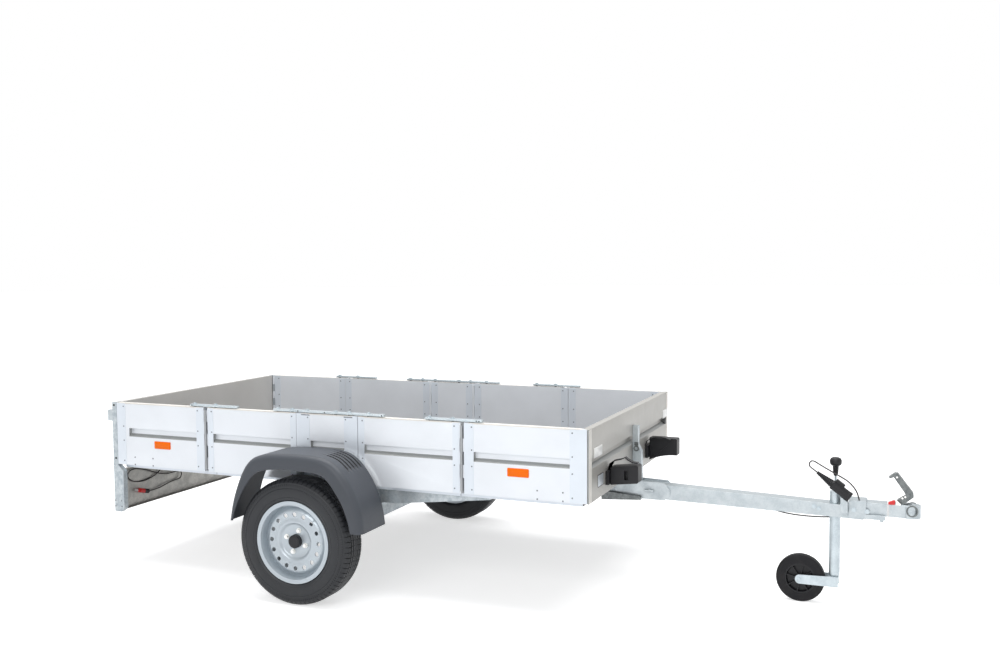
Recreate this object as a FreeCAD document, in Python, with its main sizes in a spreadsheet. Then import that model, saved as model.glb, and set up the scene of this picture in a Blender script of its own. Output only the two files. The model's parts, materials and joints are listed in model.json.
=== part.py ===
"""Collapsible utility trailer: two wheels, a drawbar with a jockey wheel, and a low box.

The side walls fold inwards about upright hinges, the front board and the rear frame slide in
as they fold, and the floor lifts in two halves at each end. Millimetres, +X to the coupling,
+Y to the trailer's left, +Z up from the ground. Lengths along X are counted from the wheel
axle, and every finished piece is then moved so that the origin is below the middle.
"""
import FreeCAD, Part
import math
import os

import Sketcher
from FreeCAD import Rotation, Vector

doc = FreeCAD.newDocument("UtilityTrailer")

# The driving sizes, in millimetres, one cell each.
SIZES = {
    # road wheels
    "tyre_radius": 280,
    "sidewall_height": 98,
    "tyre_half_width": 74,
    "tread_half_width": 58,
    "wheel_offset": 146.5,
    "rim_flange_height": 17,
    "rim_half_width": 66.5,
    "rim_wall": 6,
    "disc_wall": 4,
    "disc_edge_inset": 4.95,
    "disc_face": 34,
    "hub_radius": 62,
    "hub_bore_radius": 30,
    "bolt_circle_radius": 50,
    "bolt_turn": 72,
    "bolt_radius": 6,
    "bolt_head_radius": 10,
    "bolt_head_height": 11,
    "hub_cap_height": 22,
    "vent_radius": 9.5,
    # axle with rubber suspension
    "axle_tube_x": 165,
    "axle_tube_z": 345,
    "axle_tube_side": 70,
    "bracket_reach": 86,
    "bracket_overlap": 30,
    "bracket_wall": 9,
    "arm_gap": 26,
    "arm_width": 38,
    "arm_axle_radius": 40,
    "arm_wheel_radius": 32,
    "stub_radius": 20,
    # box
    "box_mid": 51.5,
    "box_half_width": 674,
    "wall_thickness": 28,
    "wall_bottom": 509,
    "wall_top": 815,
    "link_length": 531.5,
    "centre_half_length": 134.5,
    "centre_mitre": 25.5,
    "seam_gap": 2,
    "knuckle_gap": 10.5,
    "board_gap": 4,
    "board_thickness": 31,
    "groove_top": 692,
    "groove_back_bottom": 664,
    "groove_bottom": 650,
    "groove_depth": 19,
    "groove_margin": 74,
    # upright hinges
    "inner_pin_proud": 2,
    "outer_pin_proud": 3,
    "barrel_radius": 5.5,
    "barrel_clear": 1.5,
    "knuckle_play": 0.6,
    "hinge_margin": 12,
    "corner_hinge_low": 592,
    # locking bars on the walls
    "bar_lift": 5,
    "bar_height": 20,
    "bar_width": 24,
    "bar_length": 272,
    "bar_back": 178,
    "bar_centre_start": 18,
    "stud_radius": 6,
    "stud_inset": 20,
    "stud_pitch": 110,
    "stud_centre_pitch": 72,
    # floor
    "floor_top": 503,
    "floor_thickness": 15,
    "floor_side_gap": 14,
    "floor_pin_x": 88.5,
    "floor_end_gap": 7,
    "floor_edge_gap": 5,
    "floor_barrel_radius": 4,
    "floor_barrel_length": 110,
    "floor_barrel_y": 300,
    "fold_pin_drop": 5,
    # frame below the floor
    "seat_gap": 0.3,
    "rail_inset": 74,
    "rail_width": 40,
    "rail_nose": 14,
    "rail_rear": -130,
    "rail_front": 830,
    "rail_taper_start": 357,
    "rail_bottom": 421,
    "rail_tip_bottom": 474,
    "beam_half_width": 35,
    "beam_rear": -100,
    "beam_nose": 6,
    "beam_bottom": 412,
    "outrigger_rear": -90,
    "outrigger_front": 190,
    "outrigger_inner_z": 440,
    "outrigger_inset": 4,
    "outrigger_shelf": 34,
    "cross_member_width": 50,
    "cross_member_rear": -85,
    "cross_member_front": 297,
    "cross_member_bottom": 430,
    "outrigger_tip_z": 492,
    # drawbar and front post
    "drawbar_tip": 2300,
    "drawbar_root_top": 478,
    "drawbar_tip_top": 444,
    "drawbar_root_depth": 68,
    "drawbar_tip_depth": 54,
    "post_depth": 26,
    "post_width": 30,
    "post_top": 736,
    "cheek_thickness": 6,
    "cheek_length": 182,
    "cheek_tail": 70,
    "cheek_drop": 6,
    "cheek_rise": 4,
    "hook_depth": 40,
    # jockey wheel
    "jockey_x": 2182,
    "jockey_tube_radius": 23,
    "jockey_tube_bottom": 132,
    "jockey_tube_top": 498,
    "jockey_leg_radius": 19,
    "jockey_leg_cover": 53,
    "crank_stem": 72,
    "crank_neck": 40,
    "crank_knob": 41,
    "crank_knob_radius": 25,
    "jockey_wheel_radius": 104,
    "jockey_wheel_half_width": 24,
    "jockey_trail": 141,
    "fork_gap": 5,
    "fork_plate": 5,
    "fork_half_height": 20,
    # coupling
    "socket_x": 2487,
    "socket_radius": 39,
    "ball_bore_radius": 25.3,
    "ball_depth": 18,
    "head_top": 456,
    "head_bottom": 399,
    "head_rear": 2240,
    "head_neck": 50,
    "head_crown_drop": 8,
    "sleeve_side": 10,
    "sleeve_drop": 14,
    "sleeve_wall": 3,
    "lever_reach": 63,
    "lever_elbow": 73,
    "lever_rise": 139,
    "lever_half_width": 17,
    # mudguards
    "guard_side_gap": 16.5,
    "guard_inner_gap": 27,
    "guard_wall": 5,
    "guard_lip": 40,
    "stay_width": 40,
    "stay_stand_off": 16,
    "stay_end_gap": 46,
    "stay_wall": 4.5,
    # front board fittings
    "chock_right_y": -390,
    "chock_left_y": 270,
    "chock_width": 60,
    "chock_length": 121,
    "chock_bottom": 541,
    "chock_height": 77,
    "chock_rise": 14,
    "chock_corner": 8,
    "chock_slot_length": 16,
    "chock_slot_height": 40,
    "chock_slot_depth": 20,
    "chock_left_length": 135,
    "chock_left_bottom": 533,
    "chock_left_height": 108,
    "chock_hollow_radius": 297,
    "chock_hollow_rise": 28,
    "holder_depth": 14,
    "holder_bottom": 545,
    "holder_height": 60,
    "holder_side": 28,
    # rear frame
    "rear_post_width": 28,
    "rear_post_bottom": 270,
    "rear_post_foot": 59,
    "rear_post_corner": 18,
    "lamp_board_top": 474,
    "lamp_board_flange": 22,
    "lamp_board_wall": 3,
    "lamp_width": 200,
    "lamp_height": 110,
    "lamp_depth": 27,
    "lamp_z": 380,
    "sill_top": 516,
    "tailgate_bottom": 525.5,
    "tailgate_pin_z": 543,
    "tailgate_pin_radius": 5,
    "tailgate_side_gap": 5,
    "latch_depth": 30,
    "latch_drop": 33,
    "latch_height": 54,
    # plug of the lighting cable
    "plug_radius": 22,
    "plug_length": 90,
    "boot_length": 80,
    "boot_tip_radius": 7,
    "plug_x": 2246,
    "plug_y": -53,
    "plug_z": 485,
    "plug_tilt": 36.4,
    "plug_bracket_drop": 67,
    "plug_clip_start": 46,
    "plug_clip_length": 42,
    "plug_clip_width": 20,
    "plug_clip_height": 11,
    # cables, their clips below the drawbar and the connector on the lamp board
    "cable_diameter": 6,
    "clip_length": 20,
    "clip_width": 14,
    "clip_drop": 6,
    "connector_radius": 11,
    "connector_length": 66,
    "connector_tip_radius": 6,
    "connector_tip_length": 30,
}


class Size:
    """A cell of the sheet, or a sum of cells: its number and the expression that gives it."""

    def __init__(self, number, text):
        self.number = float(number)
        self.text = text

    def __add__(self, other):
        other = as_size(other)
        return Size(self.number + other.number, f"({self.text} + {other.text})")

    def __sub__(self, other):
        other = as_size(other)
        return Size(self.number - other.number, f"({self.text} - {other.text})")

    def __mul__(self, factor):
        return Size(self.number * factor, f"({self.text} * {factor})")

    def __truediv__(self, factor):
        return Size(self.number / factor, f"({self.text} / {factor})")

    def __radd__(self, other):
        return as_size(other) + self

    def __rsub__(self, other):
        return as_size(other) - self

    def __neg__(self):
        return self * -1


def as_size(value):
    """A plain number becomes a size without a cell."""
    return value if isinstance(value, Size) else Size(value, f"({float(value)})")


class Cells:
    """The sizes of the sheet as attributes."""


sheet = doc.addObject("Spreadsheet::Sheet", "Dims")
d = Cells()
for row, (alias, number) in enumerate(SIZES.items(), start=1):
    sheet.set(f"A{row}", alias)
    sheet.set(f"B{row}", str(number))
    sheet.setAlias(f"B{row}", alias)
    setattr(d, alias, Size(number, f"Dims.{alias}"))
doc.recompute()

# Places that several pieces share.
rim_flange_radius = d.tyre_radius - d.sidewall_height
rim_seat_radius = rim_flange_radius - d.rim_flange_height
wheel_centre_y = d.box_half_width + d.wheel_offset
arm_inner_y = d.box_half_width + d.arm_gap
guard_outer_y = wheel_centre_y + d.tyre_half_width + d.guard_side_gap
guard_inner_y = d.box_half_width + d.guard_inner_gap
wall_inner = d.box_half_width - d.wall_thickness
floor_half_width = wall_inner - d.floor_side_gap
rail_outer_y = d.box_half_width - d.rail_inset
rail_inner_y = rail_outer_y - d.rail_width
latch_top = d.wall_top - d.latch_drop
latch_bottom = latch_top - d.latch_height
inner_pin_y = wall_inner - d.inner_pin_proud
outer_pin_y = d.box_half_width + d.outer_pin_proud
fold_pin_x = d.centre_half_length + d.link_length
corner_pin_x = fold_pin_x + d.link_length
board_inner_x = corner_pin_x + d.board_gap
board_outer_x = board_inner_x + d.board_thickness
front_face_x = d.box_mid + board_outer_x
rear_outer_x = d.box_mid - board_outer_x
rear_inner_x = rear_outer_x + d.rear_post_width
beam_front = front_face_x + d.beam_nose
floor_panel = (board_inner_x - d.floor_pin_x - d.floor_end_gap) / 2
floor_bottom = d.floor_top - d.floor_thickness
frame_top = floor_bottom - d.seat_gap
origin_shift = (d.latch_depth - rear_outer_x - d.socket_x - d.socket_radius) / 2

# The cables' routes from where each leaves the trailer: from the drawbar's top to the plug, from
# clip to clip below the drawbar, and from the lamp board's upper flange to the connector.
CABLE_PLUG = [
    (2285, -30, 456), (2280, -33, 488), (2266, -37, 521), (2238, -43, 553), (2200, -49, 575),
    (2160, -52, 597), (2122, -53, 618), (2095.4, -53, 634.2), (2083.3, -53, 631.2),
    (2076.5, -53, 620.7), (2078.7, -53, 608.4), (2093, -53, 597.8), (2109.97, -53, 585.29),
]
CABLE_UNDER = [
    (2216, 33, 384.5), (2180, 33, 383), (2135, 33, 382), (2085, 33, 381.7), (2035, 33, 382.3),
    (1985, 33, 384), (1940, 33, 386.4), (1905, 33, 389),
]
CABLE_REAR = [
    (-1168, -330, 471), (-1168, -333, 448), (-1170, -350, 420), (-1171.5, -385, 400),
    (-1172, -430, 388), (-1172, -480, 383), (-1172, -530, 389), (-1171, -572, 404),
    (-1170, -596, 428), (-1169, -588, 451), (-1168, -558, 460), (-1167, -515, 455),
    (-1166, -470, 442), (-1164, -430, 427), (-1161.5, -393, 411), (-1161.5, -345, 396),
    (-1163, -300, 389), (-1164.5, -255, 388.5), (-1165.5, -228, 388.7), (-1166, -205, 388),
    (-1166.5, -192.6, 375.6), (-1167, -192.6, 358), (-1167, -205, 346), (-1167, -228, 343.8),
    (-1167, -260, 343), (-1167, -305, 338), (-1167, -357, 328), (-1167, -407, 324), (-1166.7, -452, 326),
]
CONNECTOR_TIP = (-1166.7, -570, 358)
clip_front_x, clip_rear_x = CABLE_UNDER[0][0], CABLE_UNDER[-1][0]

nodes = []
PLANES = {"XY": "XY_Plane", "XZ": "XZ_Plane", "YZ": "YZ_Plane"}


def bind(item, path, size):
    """Bind one property of an object to the sheet."""
    item.setExpression(path, as_size(size).text)


def draw_loop(sketch, corners):
    """One closed outline, every corner held by its two distances from the sketch's origin."""
    first = sketch.GeometryCount
    count = len(corners)
    places = [Vector(as_size(u).number, as_size(v).number, 0) for u, v in corners]
    for index in range(count):
        sketch.addGeometry(Part.LineSegment(places[index], places[(index + 1) % count]))
    for index in range(count):
        after = first + (index + 1) % count
        sketch.addConstraint(Sketcher.Constraint("Coincident", first + index, 2, after, 1))
    for index, corner in enumerate(corners):
        for kind, size in zip(("DistanceX", "DistanceY"), corner):
            number = as_size(size).number
            held = Sketcher.Constraint(kind, -1, 1, first + index, 1, number)
            place = sketch.addConstraint(held)
            sketch.setExpression(f"Constraints[{place}]", as_size(size).text)


def draw_circle(sketch, u, v, radius):
    """One circle held by its centre and radius."""
    u, v, radius = as_size(u), as_size(v), as_size(radius)
    ring = sketch.addGeometry(Part.Circle(Vector(u.number, v.number, 0), Vector(0, 0, 1), radius.number))
    for kind, size in (("DistanceX", u), ("DistanceY", v)):
        place = sketch.addConstraint(Sketcher.Constraint(kind, -1, 1, ring, 3, size.number))
        sketch.setExpression(f"Constraints[{place}]", size.text)
    place = sketch.addConstraint(Sketcher.Constraint("Radius", ring, radius.number))
    sketch.setExpression(f"Constraints[{place}]", radius.text)


def new_sketch(body, plane, offset):
    """An empty sketch on one of the body's own planes, moved along the plane's normal."""
    sketch = body.newObject("Sketcher::SketchObject", body.Name + "Sketch")
    support = [face for face in body.Origin.OriginFeatures if face.Role == PLANES[plane]][0]
    sketch.AttachmentSupport = [(support, "")]
    sketch.MapMode = "FlatFace"
    bind(sketch, "AttachmentOffset.Base.z", offset)
    return sketch


def prism(name, plane, corners, low, high, circles=(), holes=()):
    """A body padded from an outline; low and high are along the axis across the plane."""
    low, high = as_size(low), as_size(high)
    body = doc.addObject("PartDesign::Body", name)
    start = -high if plane == "XZ" else low
    sketch = new_sketch(body, plane, start)
    if corners:
        draw_loop(sketch, corners)
    for hole in holes:
        draw_loop(sketch, hole)
    for u, v, radius in circles:
        draw_circle(sketch, u, v, radius)
    pad = body.newObject("PartDesign::Pad", name + "Pad")
    pad.Profile = sketch
    bind(pad, "Length", high - low)
    doc.recompute()
    return body


def rounded(body, radius, wanted):
    """Round those edges of a body that the test picks."""
    base = body.Tip
    names = [f"Edge{number}" for number, edge in enumerate(base.Shape.Edges, start=1) if wanted(edge)]
    fillet = body.newObject("PartDesign::Fillet", body.Name + "Fillet")
    fillet.Base = (base, names)
    bind(fillet, "Radius", radius)
    doc.recompute()
    return body


def along(axis, longer_than=0.5):
    """A test for straight edges that run along one axis."""
    way = {"x": Vector(1, 0, 0), "y": Vector(0, 1, 0), "z": Vector(0, 0, 1)}[axis]

    def test(edge):
        if edge.Curve.TypeId != "Part::GeomLine" or edge.Length < longer_than:
            return False
        return abs(edge.Curve.Direction.dot(way)) > 0.999
    return test


def turned(name, corners, centre_y, centre_z):
    """A body turned about a line along Y; corners are (distance along Y, radius)."""
    body = doc.addObject("PartDesign::Body", name)
    sketch = new_sketch(body, "YZ", 0)
    draw_loop(sketch, corners)
    spin = body.newObject("PartDesign::Revolution", name + "Turn")
    spin.Profile = sketch
    spin.ReferenceAxis = (sketch, ["H_Axis"])
    spin.Angle = 360
    bind(body, "Placement.Base.y", centre_y)
    bind(body, "Placement.Base.z", centre_z)
    doc.recompute()
    return body


def spun(name, corners, centre_x):
    """A body turned about an upright line; corners are (radius, height)."""
    body = doc.addObject("PartDesign::Body", name)
    sketch = new_sketch(body, "XZ", 0)
    draw_loop(sketch, corners)
    spin = body.newObject("PartDesign::Revolution", name + "Turn")
    spin.Profile = sketch
    spin.ReferenceAxis = (sketch, ["V_Axis"])
    spin.Angle = 360
    bind(body, "Placement.Base.x", centre_x)
    doc.recompute()
    return body


def box(name, x, y, z):
    """A block from its low and high sides along each axis."""
    block = doc.addObject("Part::Box", name)
    for side, place, (low, high) in zip(("Length", "Width", "Height"), "xyz", (x, y, z)):
        bind(block, side, as_size(high) - low)
        bind(block, f"Placement.Base.{place}", low)
    return block


def rod(name, axis, centre, radius, low, high):
    """A round bar along one axis; centre gives the other two coordinates in order."""
    bar = doc.addObject("Part::Cylinder", name)
    bind(bar, "Radius", radius)
    bind(bar, "Height", as_size(high) - low)
    turns = {"x": Rotation(Vector(0, 1, 0), 90), "y": Rotation(Vector(1, 0, 0), -90), "z": Rotation()}
    bar.Placement.Rotation = turns[axis]
    places = iter(centre)
    for letter in "xyz":
        bind(bar, f"Placement.Base.{letter}", low if letter == axis else next(places))
    return bar


def fuse(name, pieces):
    """One solid from pieces that overlap or share a face."""
    joined = doc.addObject("Part::MultiFuse", name)
    joined.Shapes = list(pieces)
    joined.Refine = True
    return joined


def cut(name, base, tools):
    """A piece less one or more tools."""
    tool = tools[0] if len(tools) == 1 else fuse(name + "Tools", tools)
    left = doc.addObject("Part::Cut", name)
    left.Base = base
    left.Tool = tool
    left.Refine = True
    return left


def mirror(name, source, axis):
    """A mirrored copy, across the middle plane for Y or across the middle of the box for X."""
    copy = doc.addObject("Part::Mirroring", name)
    copy.Source = source
    copy.Normal = Vector(0, 1, 0) if axis == "y" else Vector(1, 0, 0)
    if axis == "x":
        bind(copy, "Base.x", d.box_mid)
    return copy


def node(label, piece):
    """A finished piece: it gets its name and the shift that puts the origin below the middle."""
    if piece.TypeId != "Part::Mirroring":
        bind(piece, "Placement.Base.x", origin_shift)
    piece.Label = label
    nodes.append(piece)
    return piece


def both_sides(label, piece):
    """The right piece and its mirrored left one as two nodes."""
    node(label + "_right", piece)
    node(label + "_left", mirror(piece.Name + "Left", piece, "y"))


def group(name, pieces):
    """Solids that share a node without touching."""
    together = doc.addObject("Part::Compound", name)
    together.Links = list(pieces)
    return together


def shifted(name, piece):
    """A turned body keeps its own place, so the shift goes on a group around it."""
    return group(name, [piece])


# Road wheels: tyre, steel rim with its disc, and the hub with four bolts.
def make_tyre():
    side = [
        (d.rim_half_width - d.rim_wall - 1, rim_seat_radius + d.seat_gap),
        (d.rim_half_width - d.rim_wall - 1, rim_flange_radius + 2),
        (d.tyre_half_width, rim_flange_radius + d.sidewall_height * 0.39),
        (d.tyre_half_width - 2, d.tyre_radius - d.sidewall_height * 0.29),
        (d.tread_half_width, d.tyre_radius - 3),
        (d.tread_half_width - 16, d.tyre_radius),
    ]
    other = [(-along_y, radius) for along_y, radius in reversed(side)]
    tyre = turned("Tyre", side + other, -wheel_centre_y, d.tyre_radius)
    both_sides("tyre", shifted("TyreRight", tyre))


# The disc's face from the barrel to the hub: how far out it stands, and its radius as a share
# of the bead seat's; then the flat round the hub and the ring of vents, as such shares.
DISC_EDGE_OUT = 26
DISC_FACE = [(30, 0.909), (44, 0.824), (46, 0.776), (43, 0.63), (47, 0.558), (47, 0.509), (36, 0.448)]
DISC_FLAT = 0.424
VENT_RING = 0.724
VENTS = 16
BOLTS = 4


def ring_of(count, radius, first_turn):
    """The centres, in X and Z, of holes or bolts spread evenly round the wheel's middle."""
    turns = [math.radians(first_turn + 360 / count * number) for number in range(count)]
    return [(radius * math.cos(turn), d.tyre_radius + radius * math.sin(turn)) for turn in turns]


def make_rim():
    seat = rim_seat_radius
    flange = d.rim_half_width
    inner = d.rim_half_width - d.rim_wall
    barrel = [
        (-flange, rim_flange_radius), (-inner, rim_flange_radius), (-inner, seat), (inner, seat),
        (inner, rim_flange_radius), (flange, rim_flange_radius), (flange, seat - 1),
        (inner - 8, seat - d.rim_wall), (8 - inner, seat - d.rim_wall), (-flange, seat - 1),
    ]
    face = [(-DISC_EDGE_OUT, seat - d.disc_edge_inset)]
    face += [(-out, seat * share) for out, share in DISC_FACE]
    face += [(-d.disc_face, seat * DISC_FLAT), (-d.disc_face, d.hub_bore_radius)]
    back = [(out + d.disc_wall, radius) for out, radius in reversed(face)]
    rim = turned("RimBarrel", barrel, -wheel_centre_y, d.tyre_radius)
    plate = turned("RimDisc", face + back, -wheel_centre_y, d.tyre_radius)
    low, high = -wheel_centre_y - 60, -wheel_centre_y - 20
    holes = [rod(f"BoltHole{number}", "y", centre, d.bolt_radius + 0.5, low, high)
             for number, centre in enumerate(ring_of(BOLTS, d.bolt_circle_radius, SIZES["bolt_turn"]))]
    holes += [rod(f"VentHole{number}", "y", centre, d.vent_radius, low, high)
              for number, centre in enumerate(ring_of(VENTS, seat * VENT_RING, 0))]
    pierced = cut("DiscPierced", plate, holes)
    both_sides("rim", fuse("RimRight", [rim, pierced]))


def make_hub():
    back = wheel_centre_y - arm_inner_y - d.arm_width - 17
    face = -(d.disc_face - d.disc_wall) + d.seat_gap
    cap = -(d.disc_face + d.hub_cap_height)
    bore = d.hub_bore_radius - 0.5
    outline = [
        (back, 0), (back, d.hub_radius - 6), (back - 6, d.hub_radius), (face, d.hub_radius),
        (face, bore), (cap + 5, bore), (cap, bore - 6), (cap, 0),
    ]
    hub = turned("Hub", outline, -wheel_centre_y, d.tyre_radius)
    pieces = [hub]
    head_high = -(wheel_centre_y + d.disc_face + d.seat_gap)
    head_low = head_high - d.bolt_head_height
    for number, centre in enumerate(ring_of(BOLTS, d.bolt_circle_radius, SIZES["bolt_turn"])):
        pieces.append(rod(f"BoltHead{number}", "y", centre, d.bolt_head_radius, head_low, head_high))
        pieces.append(rod(f"BoltShank{number}", "y", centre, d.bolt_radius, head_low,
                          face - wheel_centre_y + 4))
    both_sides("hub", fuse("HubRight", pieces))


# Axle: a square tube, a trailing arm at each end and the stub that carries the hub.
def make_axle():
    half = d.axle_tube_side / 2
    reach = arm_inner_y - d.seat_gap
    tube = prism("AxleTube", "XZ", [
        (d.axle_tube_x - half, d.axle_tube_z - half), (d.axle_tube_x + half, d.axle_tube_z - half),
        (d.axle_tube_x + half, d.axle_tube_z + half), (d.axle_tube_x - half, d.axle_tube_z + half),
    ], -reach, reach)
    rounded(tube, 8, along("y"))
    plates = []
    for side in (-1, 1):
        outer = (rail_inner_y - d.seat_gap) * side
        inner = outer - d.bracket_wall * side
        low, high = (inner, outer) if side > 0 else (outer, inner)
        start, end = d.axle_tube_x - half, d.axle_tube_x + half
        weld = d.axle_tube_z + half / 3
        top = d.rail_bottom + d.bracket_overlap
        plates.append(prism(f"AxleBracket{side + 1}", "XZ", [
            (start, weld), (end, weld), (end + d.bracket_reach, d.rail_bottom + 2),
            (end + d.bracket_reach, top), (start, top),
        ], low, high))
    node("axle_beam", fuse("AxleBeam", [tube] + plates))


def make_arm():
    inner = -arm_inner_y
    outer = inner - d.arm_width
    round_axle = rod("ArmRoot", "y", (d.axle_tube_x, d.axle_tube_z), d.arm_axle_radius, outer, inner)
    round_wheel = rod("ArmEnd", "y", (0, d.tyre_radius), d.arm_wheel_radius, outer, inner)
    web = prism("ArmWeb", "XZ", [
        (d.axle_tube_x - 12, d.axle_tube_z + d.arm_axle_radius - 4),
        (-12, d.tyre_radius + d.arm_wheel_radius - 4),
        (12, d.tyre_radius - d.arm_wheel_radius + 4),
        (d.axle_tube_x + 14, d.axle_tube_z - d.arm_axle_radius + 4),
    ], outer, inner)
    hub_back = -(arm_inner_y + d.arm_width + 17)
    stub = rod("ArmStub", "y", (0, d.tyre_radius), d.stub_radius, hub_back + d.seat_gap, inner)
    both_sides("swing_arm", fuse("SwingArm", [round_axle, round_wheel, web, stub]))


# Frame below the floor: side rails with outriggers, a middle beam and cross members.
def make_frame():
    rails, outriggers, members = [], [], []
    outer, inner = rail_outer_y, rail_inner_y
    edge = d.box_half_width - d.outrigger_inset
    shelf = edge - d.outrigger_shelf
    for side in (-1, 1):
        low, high = (inner, outer) if side > 0 else (-outer, -inner)
        rails.append(prism(f"SideRail{side + 1}", "XZ", [
            (d.rail_rear, d.rail_bottom), (d.rail_taper_start, d.rail_bottom),
            (d.rail_front - d.rail_nose, d.rail_tip_bottom), (d.rail_front, frame_top),
            (d.rail_rear, frame_top),
        ], low, high))
        reach = [
            (outer, d.outrigger_inner_z), (edge, d.outrigger_tip_z), (edge, d.wall_bottom),
            (shelf, d.wall_bottom), (shelf, frame_top), (outer, frame_top),
        ]
        outriggers.append(prism(f"Outrigger{side + 1}", "YZ", [(u * side, v) for u, v in reach],
                                d.outrigger_rear, d.outrigger_front))
        near, far = d.beam_half_width, inner
        low, high = (near, far) if side > 0 else (-far, -near)
        for place, start in (("Rear", d.cross_member_rear), ("Front", d.cross_member_front)):
            members.append(box(f"Cross{place}{side + 1}", (start, start + d.cross_member_width),
                               (low, high), (d.cross_member_bottom, frame_top)))
    beam = box("MiddleBeam", (d.beam_rear, beam_front), (-d.beam_half_width, d.beam_half_width),
               (d.beam_bottom, frame_top))
    node("side_rails", group("SideRails", rails))
    node("outriggers", group("Outriggers", outriggers))
    node("cross_members", group("CrossMembers", members))
    node("middle_beam", shifted("MiddleBeamPlaced", beam))


def bands(count, low, high, gap):
    """Equal spans between two heights, each shorter by a gap."""
    step = (high - low) / count
    return [(low + step * number + gap / 2, low + step * (number + 1) - gap / 2)
            for number in range(count)]


def knuckled(name, wall, hinges):
    """Add a wall's share of the knuckles at each hinge and clear the other wall's share.

    A hinge is its place, whether this wall has the first knuckle, its foot, and which way a
    leaf runs along X from the barrel to the wall, or 0 where the barrel sits in the wall.
    """
    cutters, barrels = [], []
    face = -d.box_half_width
    for number, (x, y, parent, low, leaf) in enumerate(hinges):
        high = d.wall_top - d.hinge_margin
        for index, (start, end) in enumerate(bands(5, low, high, d.knuckle_play)):
            own = (index % 2 == 0) == parent
            label = f"{name}Hinge{number}Band{index}"
            if own:
                barrels.append(rod(label, "z", (x, y), d.barrel_radius, start, end))
                if leaf:
                    reach = x + (d.knuckle_gap + 6) * leaf
                    side = (x, reach) if leaf > 0 else (reach, x)
                    barrels.append(box(label + "Leaf", side, (face, face + 4), (start, end)))
            else:
                cutters.append(rod(label, "z", (x, y), d.barrel_radius + d.barrel_clear,
                                   start - 1, end + 1))
    return fuse(name + "Walled", [cut(name + "Cleared", wall, cutters)] + barrels)


def corner_bands():
    """The heights of the five knuckles at a corner of the box."""
    return bands(5, d.corner_hinge_low, d.wall_top - d.hinge_margin, d.knuckle_play)


def wall_solid(name, corners, groove_low, groove_high):
    """A wall of the right side from its plan, with the long groove in its outer face."""
    panel = prism(name + "Panel", "XY", [(x, -y) for x, y in corners], d.wall_bottom, d.wall_top)
    face = d.box_half_width
    groove = prism(name + "Groove", "YZ", [
        (-face - 1, d.groove_bottom), (d.groove_depth - face, d.groove_back_bottom),
        (d.groove_depth - face, d.groove_top), (-face - 1, d.groove_top),
    ], groove_low, groove_high)
    return cut(name + "Grooved", panel, [groove])


def locking_bar(name, start, end, studs):
    """A flat bar lying over a seam on two studs, on the right side."""
    mid = -(d.box_half_width - d.wall_thickness / 2)
    low = d.wall_top + d.bar_lift
    half = d.bar_width / 2
    pieces = [box(name, (start, end), (mid - half, mid + half), (low, low + d.bar_height))]
    for number, spot in enumerate(studs):
        pieces.append(rod(f"{name}Stud{number}", "z", (spot, mid), d.stud_radius, d.wall_top, low + 4))
    return fuse(name + "Joined", pieces)


def outwards(end, offset):
    """A place along X counted from the middle of the box towards one end."""
    return d.box_mid + offset * end


def span(end, near, far):
    """Low and high side along X of a stretch counted from the middle of the box."""
    return (outwards(end, near), outwards(end, far)) if end > 0 else (outwards(end, far), outwards(end, near))


def make_walls():
    inner, outer = wall_inner, d.box_half_width
    half = d.centre_half_length - d.seam_gap / 2
    mitre = d.centre_mitre
    centre = wall_solid("WallCentre", [
        (d.box_mid - half, inner), (d.box_mid + half, inner),
        (d.box_mid + half + mitre, outer), (d.box_mid - half - mitre, outer),
    ], outwards(-1, half - 48), outwards(1, half - 43))
    low = d.wall_bottom + d.hinge_margin
    pins = [(outwards(end, d.centre_half_length), -inner_pin_y, True, low, 0) for end in (-1, 1)]
    both_sides("wall_centre", knuckled("WallCentre", centre, pins))
    for end, place in ((1, "front"), (-1, "rear")):
        start = d.centre_half_length + d.seam_gap / 2
        seam = fold_pin_x - d.knuckle_gap
        tip = fold_pin_x + d.wall_thickness - d.seam_gap / 2
        name = "Inner" + place.capitalize()
        wall = wall_solid(name, [
            (outwards(end, start), inner), (outwards(end, tip), inner),
            (outwards(end, seam), outer), (outwards(end, start + mitre), outer),
        ], *span(end, start + mitre + 32, seam - 32))
        pins = [(outwards(end, d.centre_half_length), -inner_pin_y, False, low, 0),
                (outwards(end, fold_pin_x), -outer_pin_y, True, low, -end)]
        both_sides(f"wall_{place}_inner", knuckled(name, wall, pins))
        start = fold_pin_x + d.wall_thickness + d.seam_gap / 2
        seam = fold_pin_x + d.knuckle_gap
        corner = corner_pin_x - d.seam_gap / 2
        far = corner + (d.wall_thickness if end > 0 else 6)
        name = "Outer" + place.capitalize()
        wall = wall_solid(name, [
            (outwards(end, start), inner), (outwards(end, corner + (0 if end > 0 else 6)), inner),
            (outwards(end, far), outer), (outwards(end, seam), outer),
        ], *span(end, seam + 45, far - d.groove_margin))
        pins = [(outwards(end, fold_pin_x), -outer_pin_y, False, low, end),
                (outwards(end, corner_pin_x), -inner_pin_y, True, d.corner_hinge_low, 0)]
        both_sides(f"wall_{place}_outer", knuckled(name, wall, pins))


def make_bars():
    start = fold_pin_x - d.bar_back
    for end, place in ((1, "front"), (-1, "rear")):
        low, high = span(end, start, start + d.bar_length)
        studs = [outwards(end, start + d.stud_inset), outwards(end, start + d.stud_inset + d.stud_pitch)]
        bar = locking_bar("Bar" + place.capitalize(), low, high, studs)
        both_sides(f"lock_bar_{place}", bar)
    centre = []
    start = d.bar_centre_start
    for end in (-1, 1):
        low, high = span(end, start, start + d.bar_length)
        studs = [outwards(end, start + d.stud_inset),
                 outwards(end, start + d.stud_inset + d.stud_centre_pitch)]
        bar = locking_bar(f"BarCentre{end + 1}", low, high, studs)
        centre += [bar, mirror(f"BarCentreLeft{end + 1}", bar, "y")]
    node("lock_bars_centre", group("BarsCentre", centre))


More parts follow.
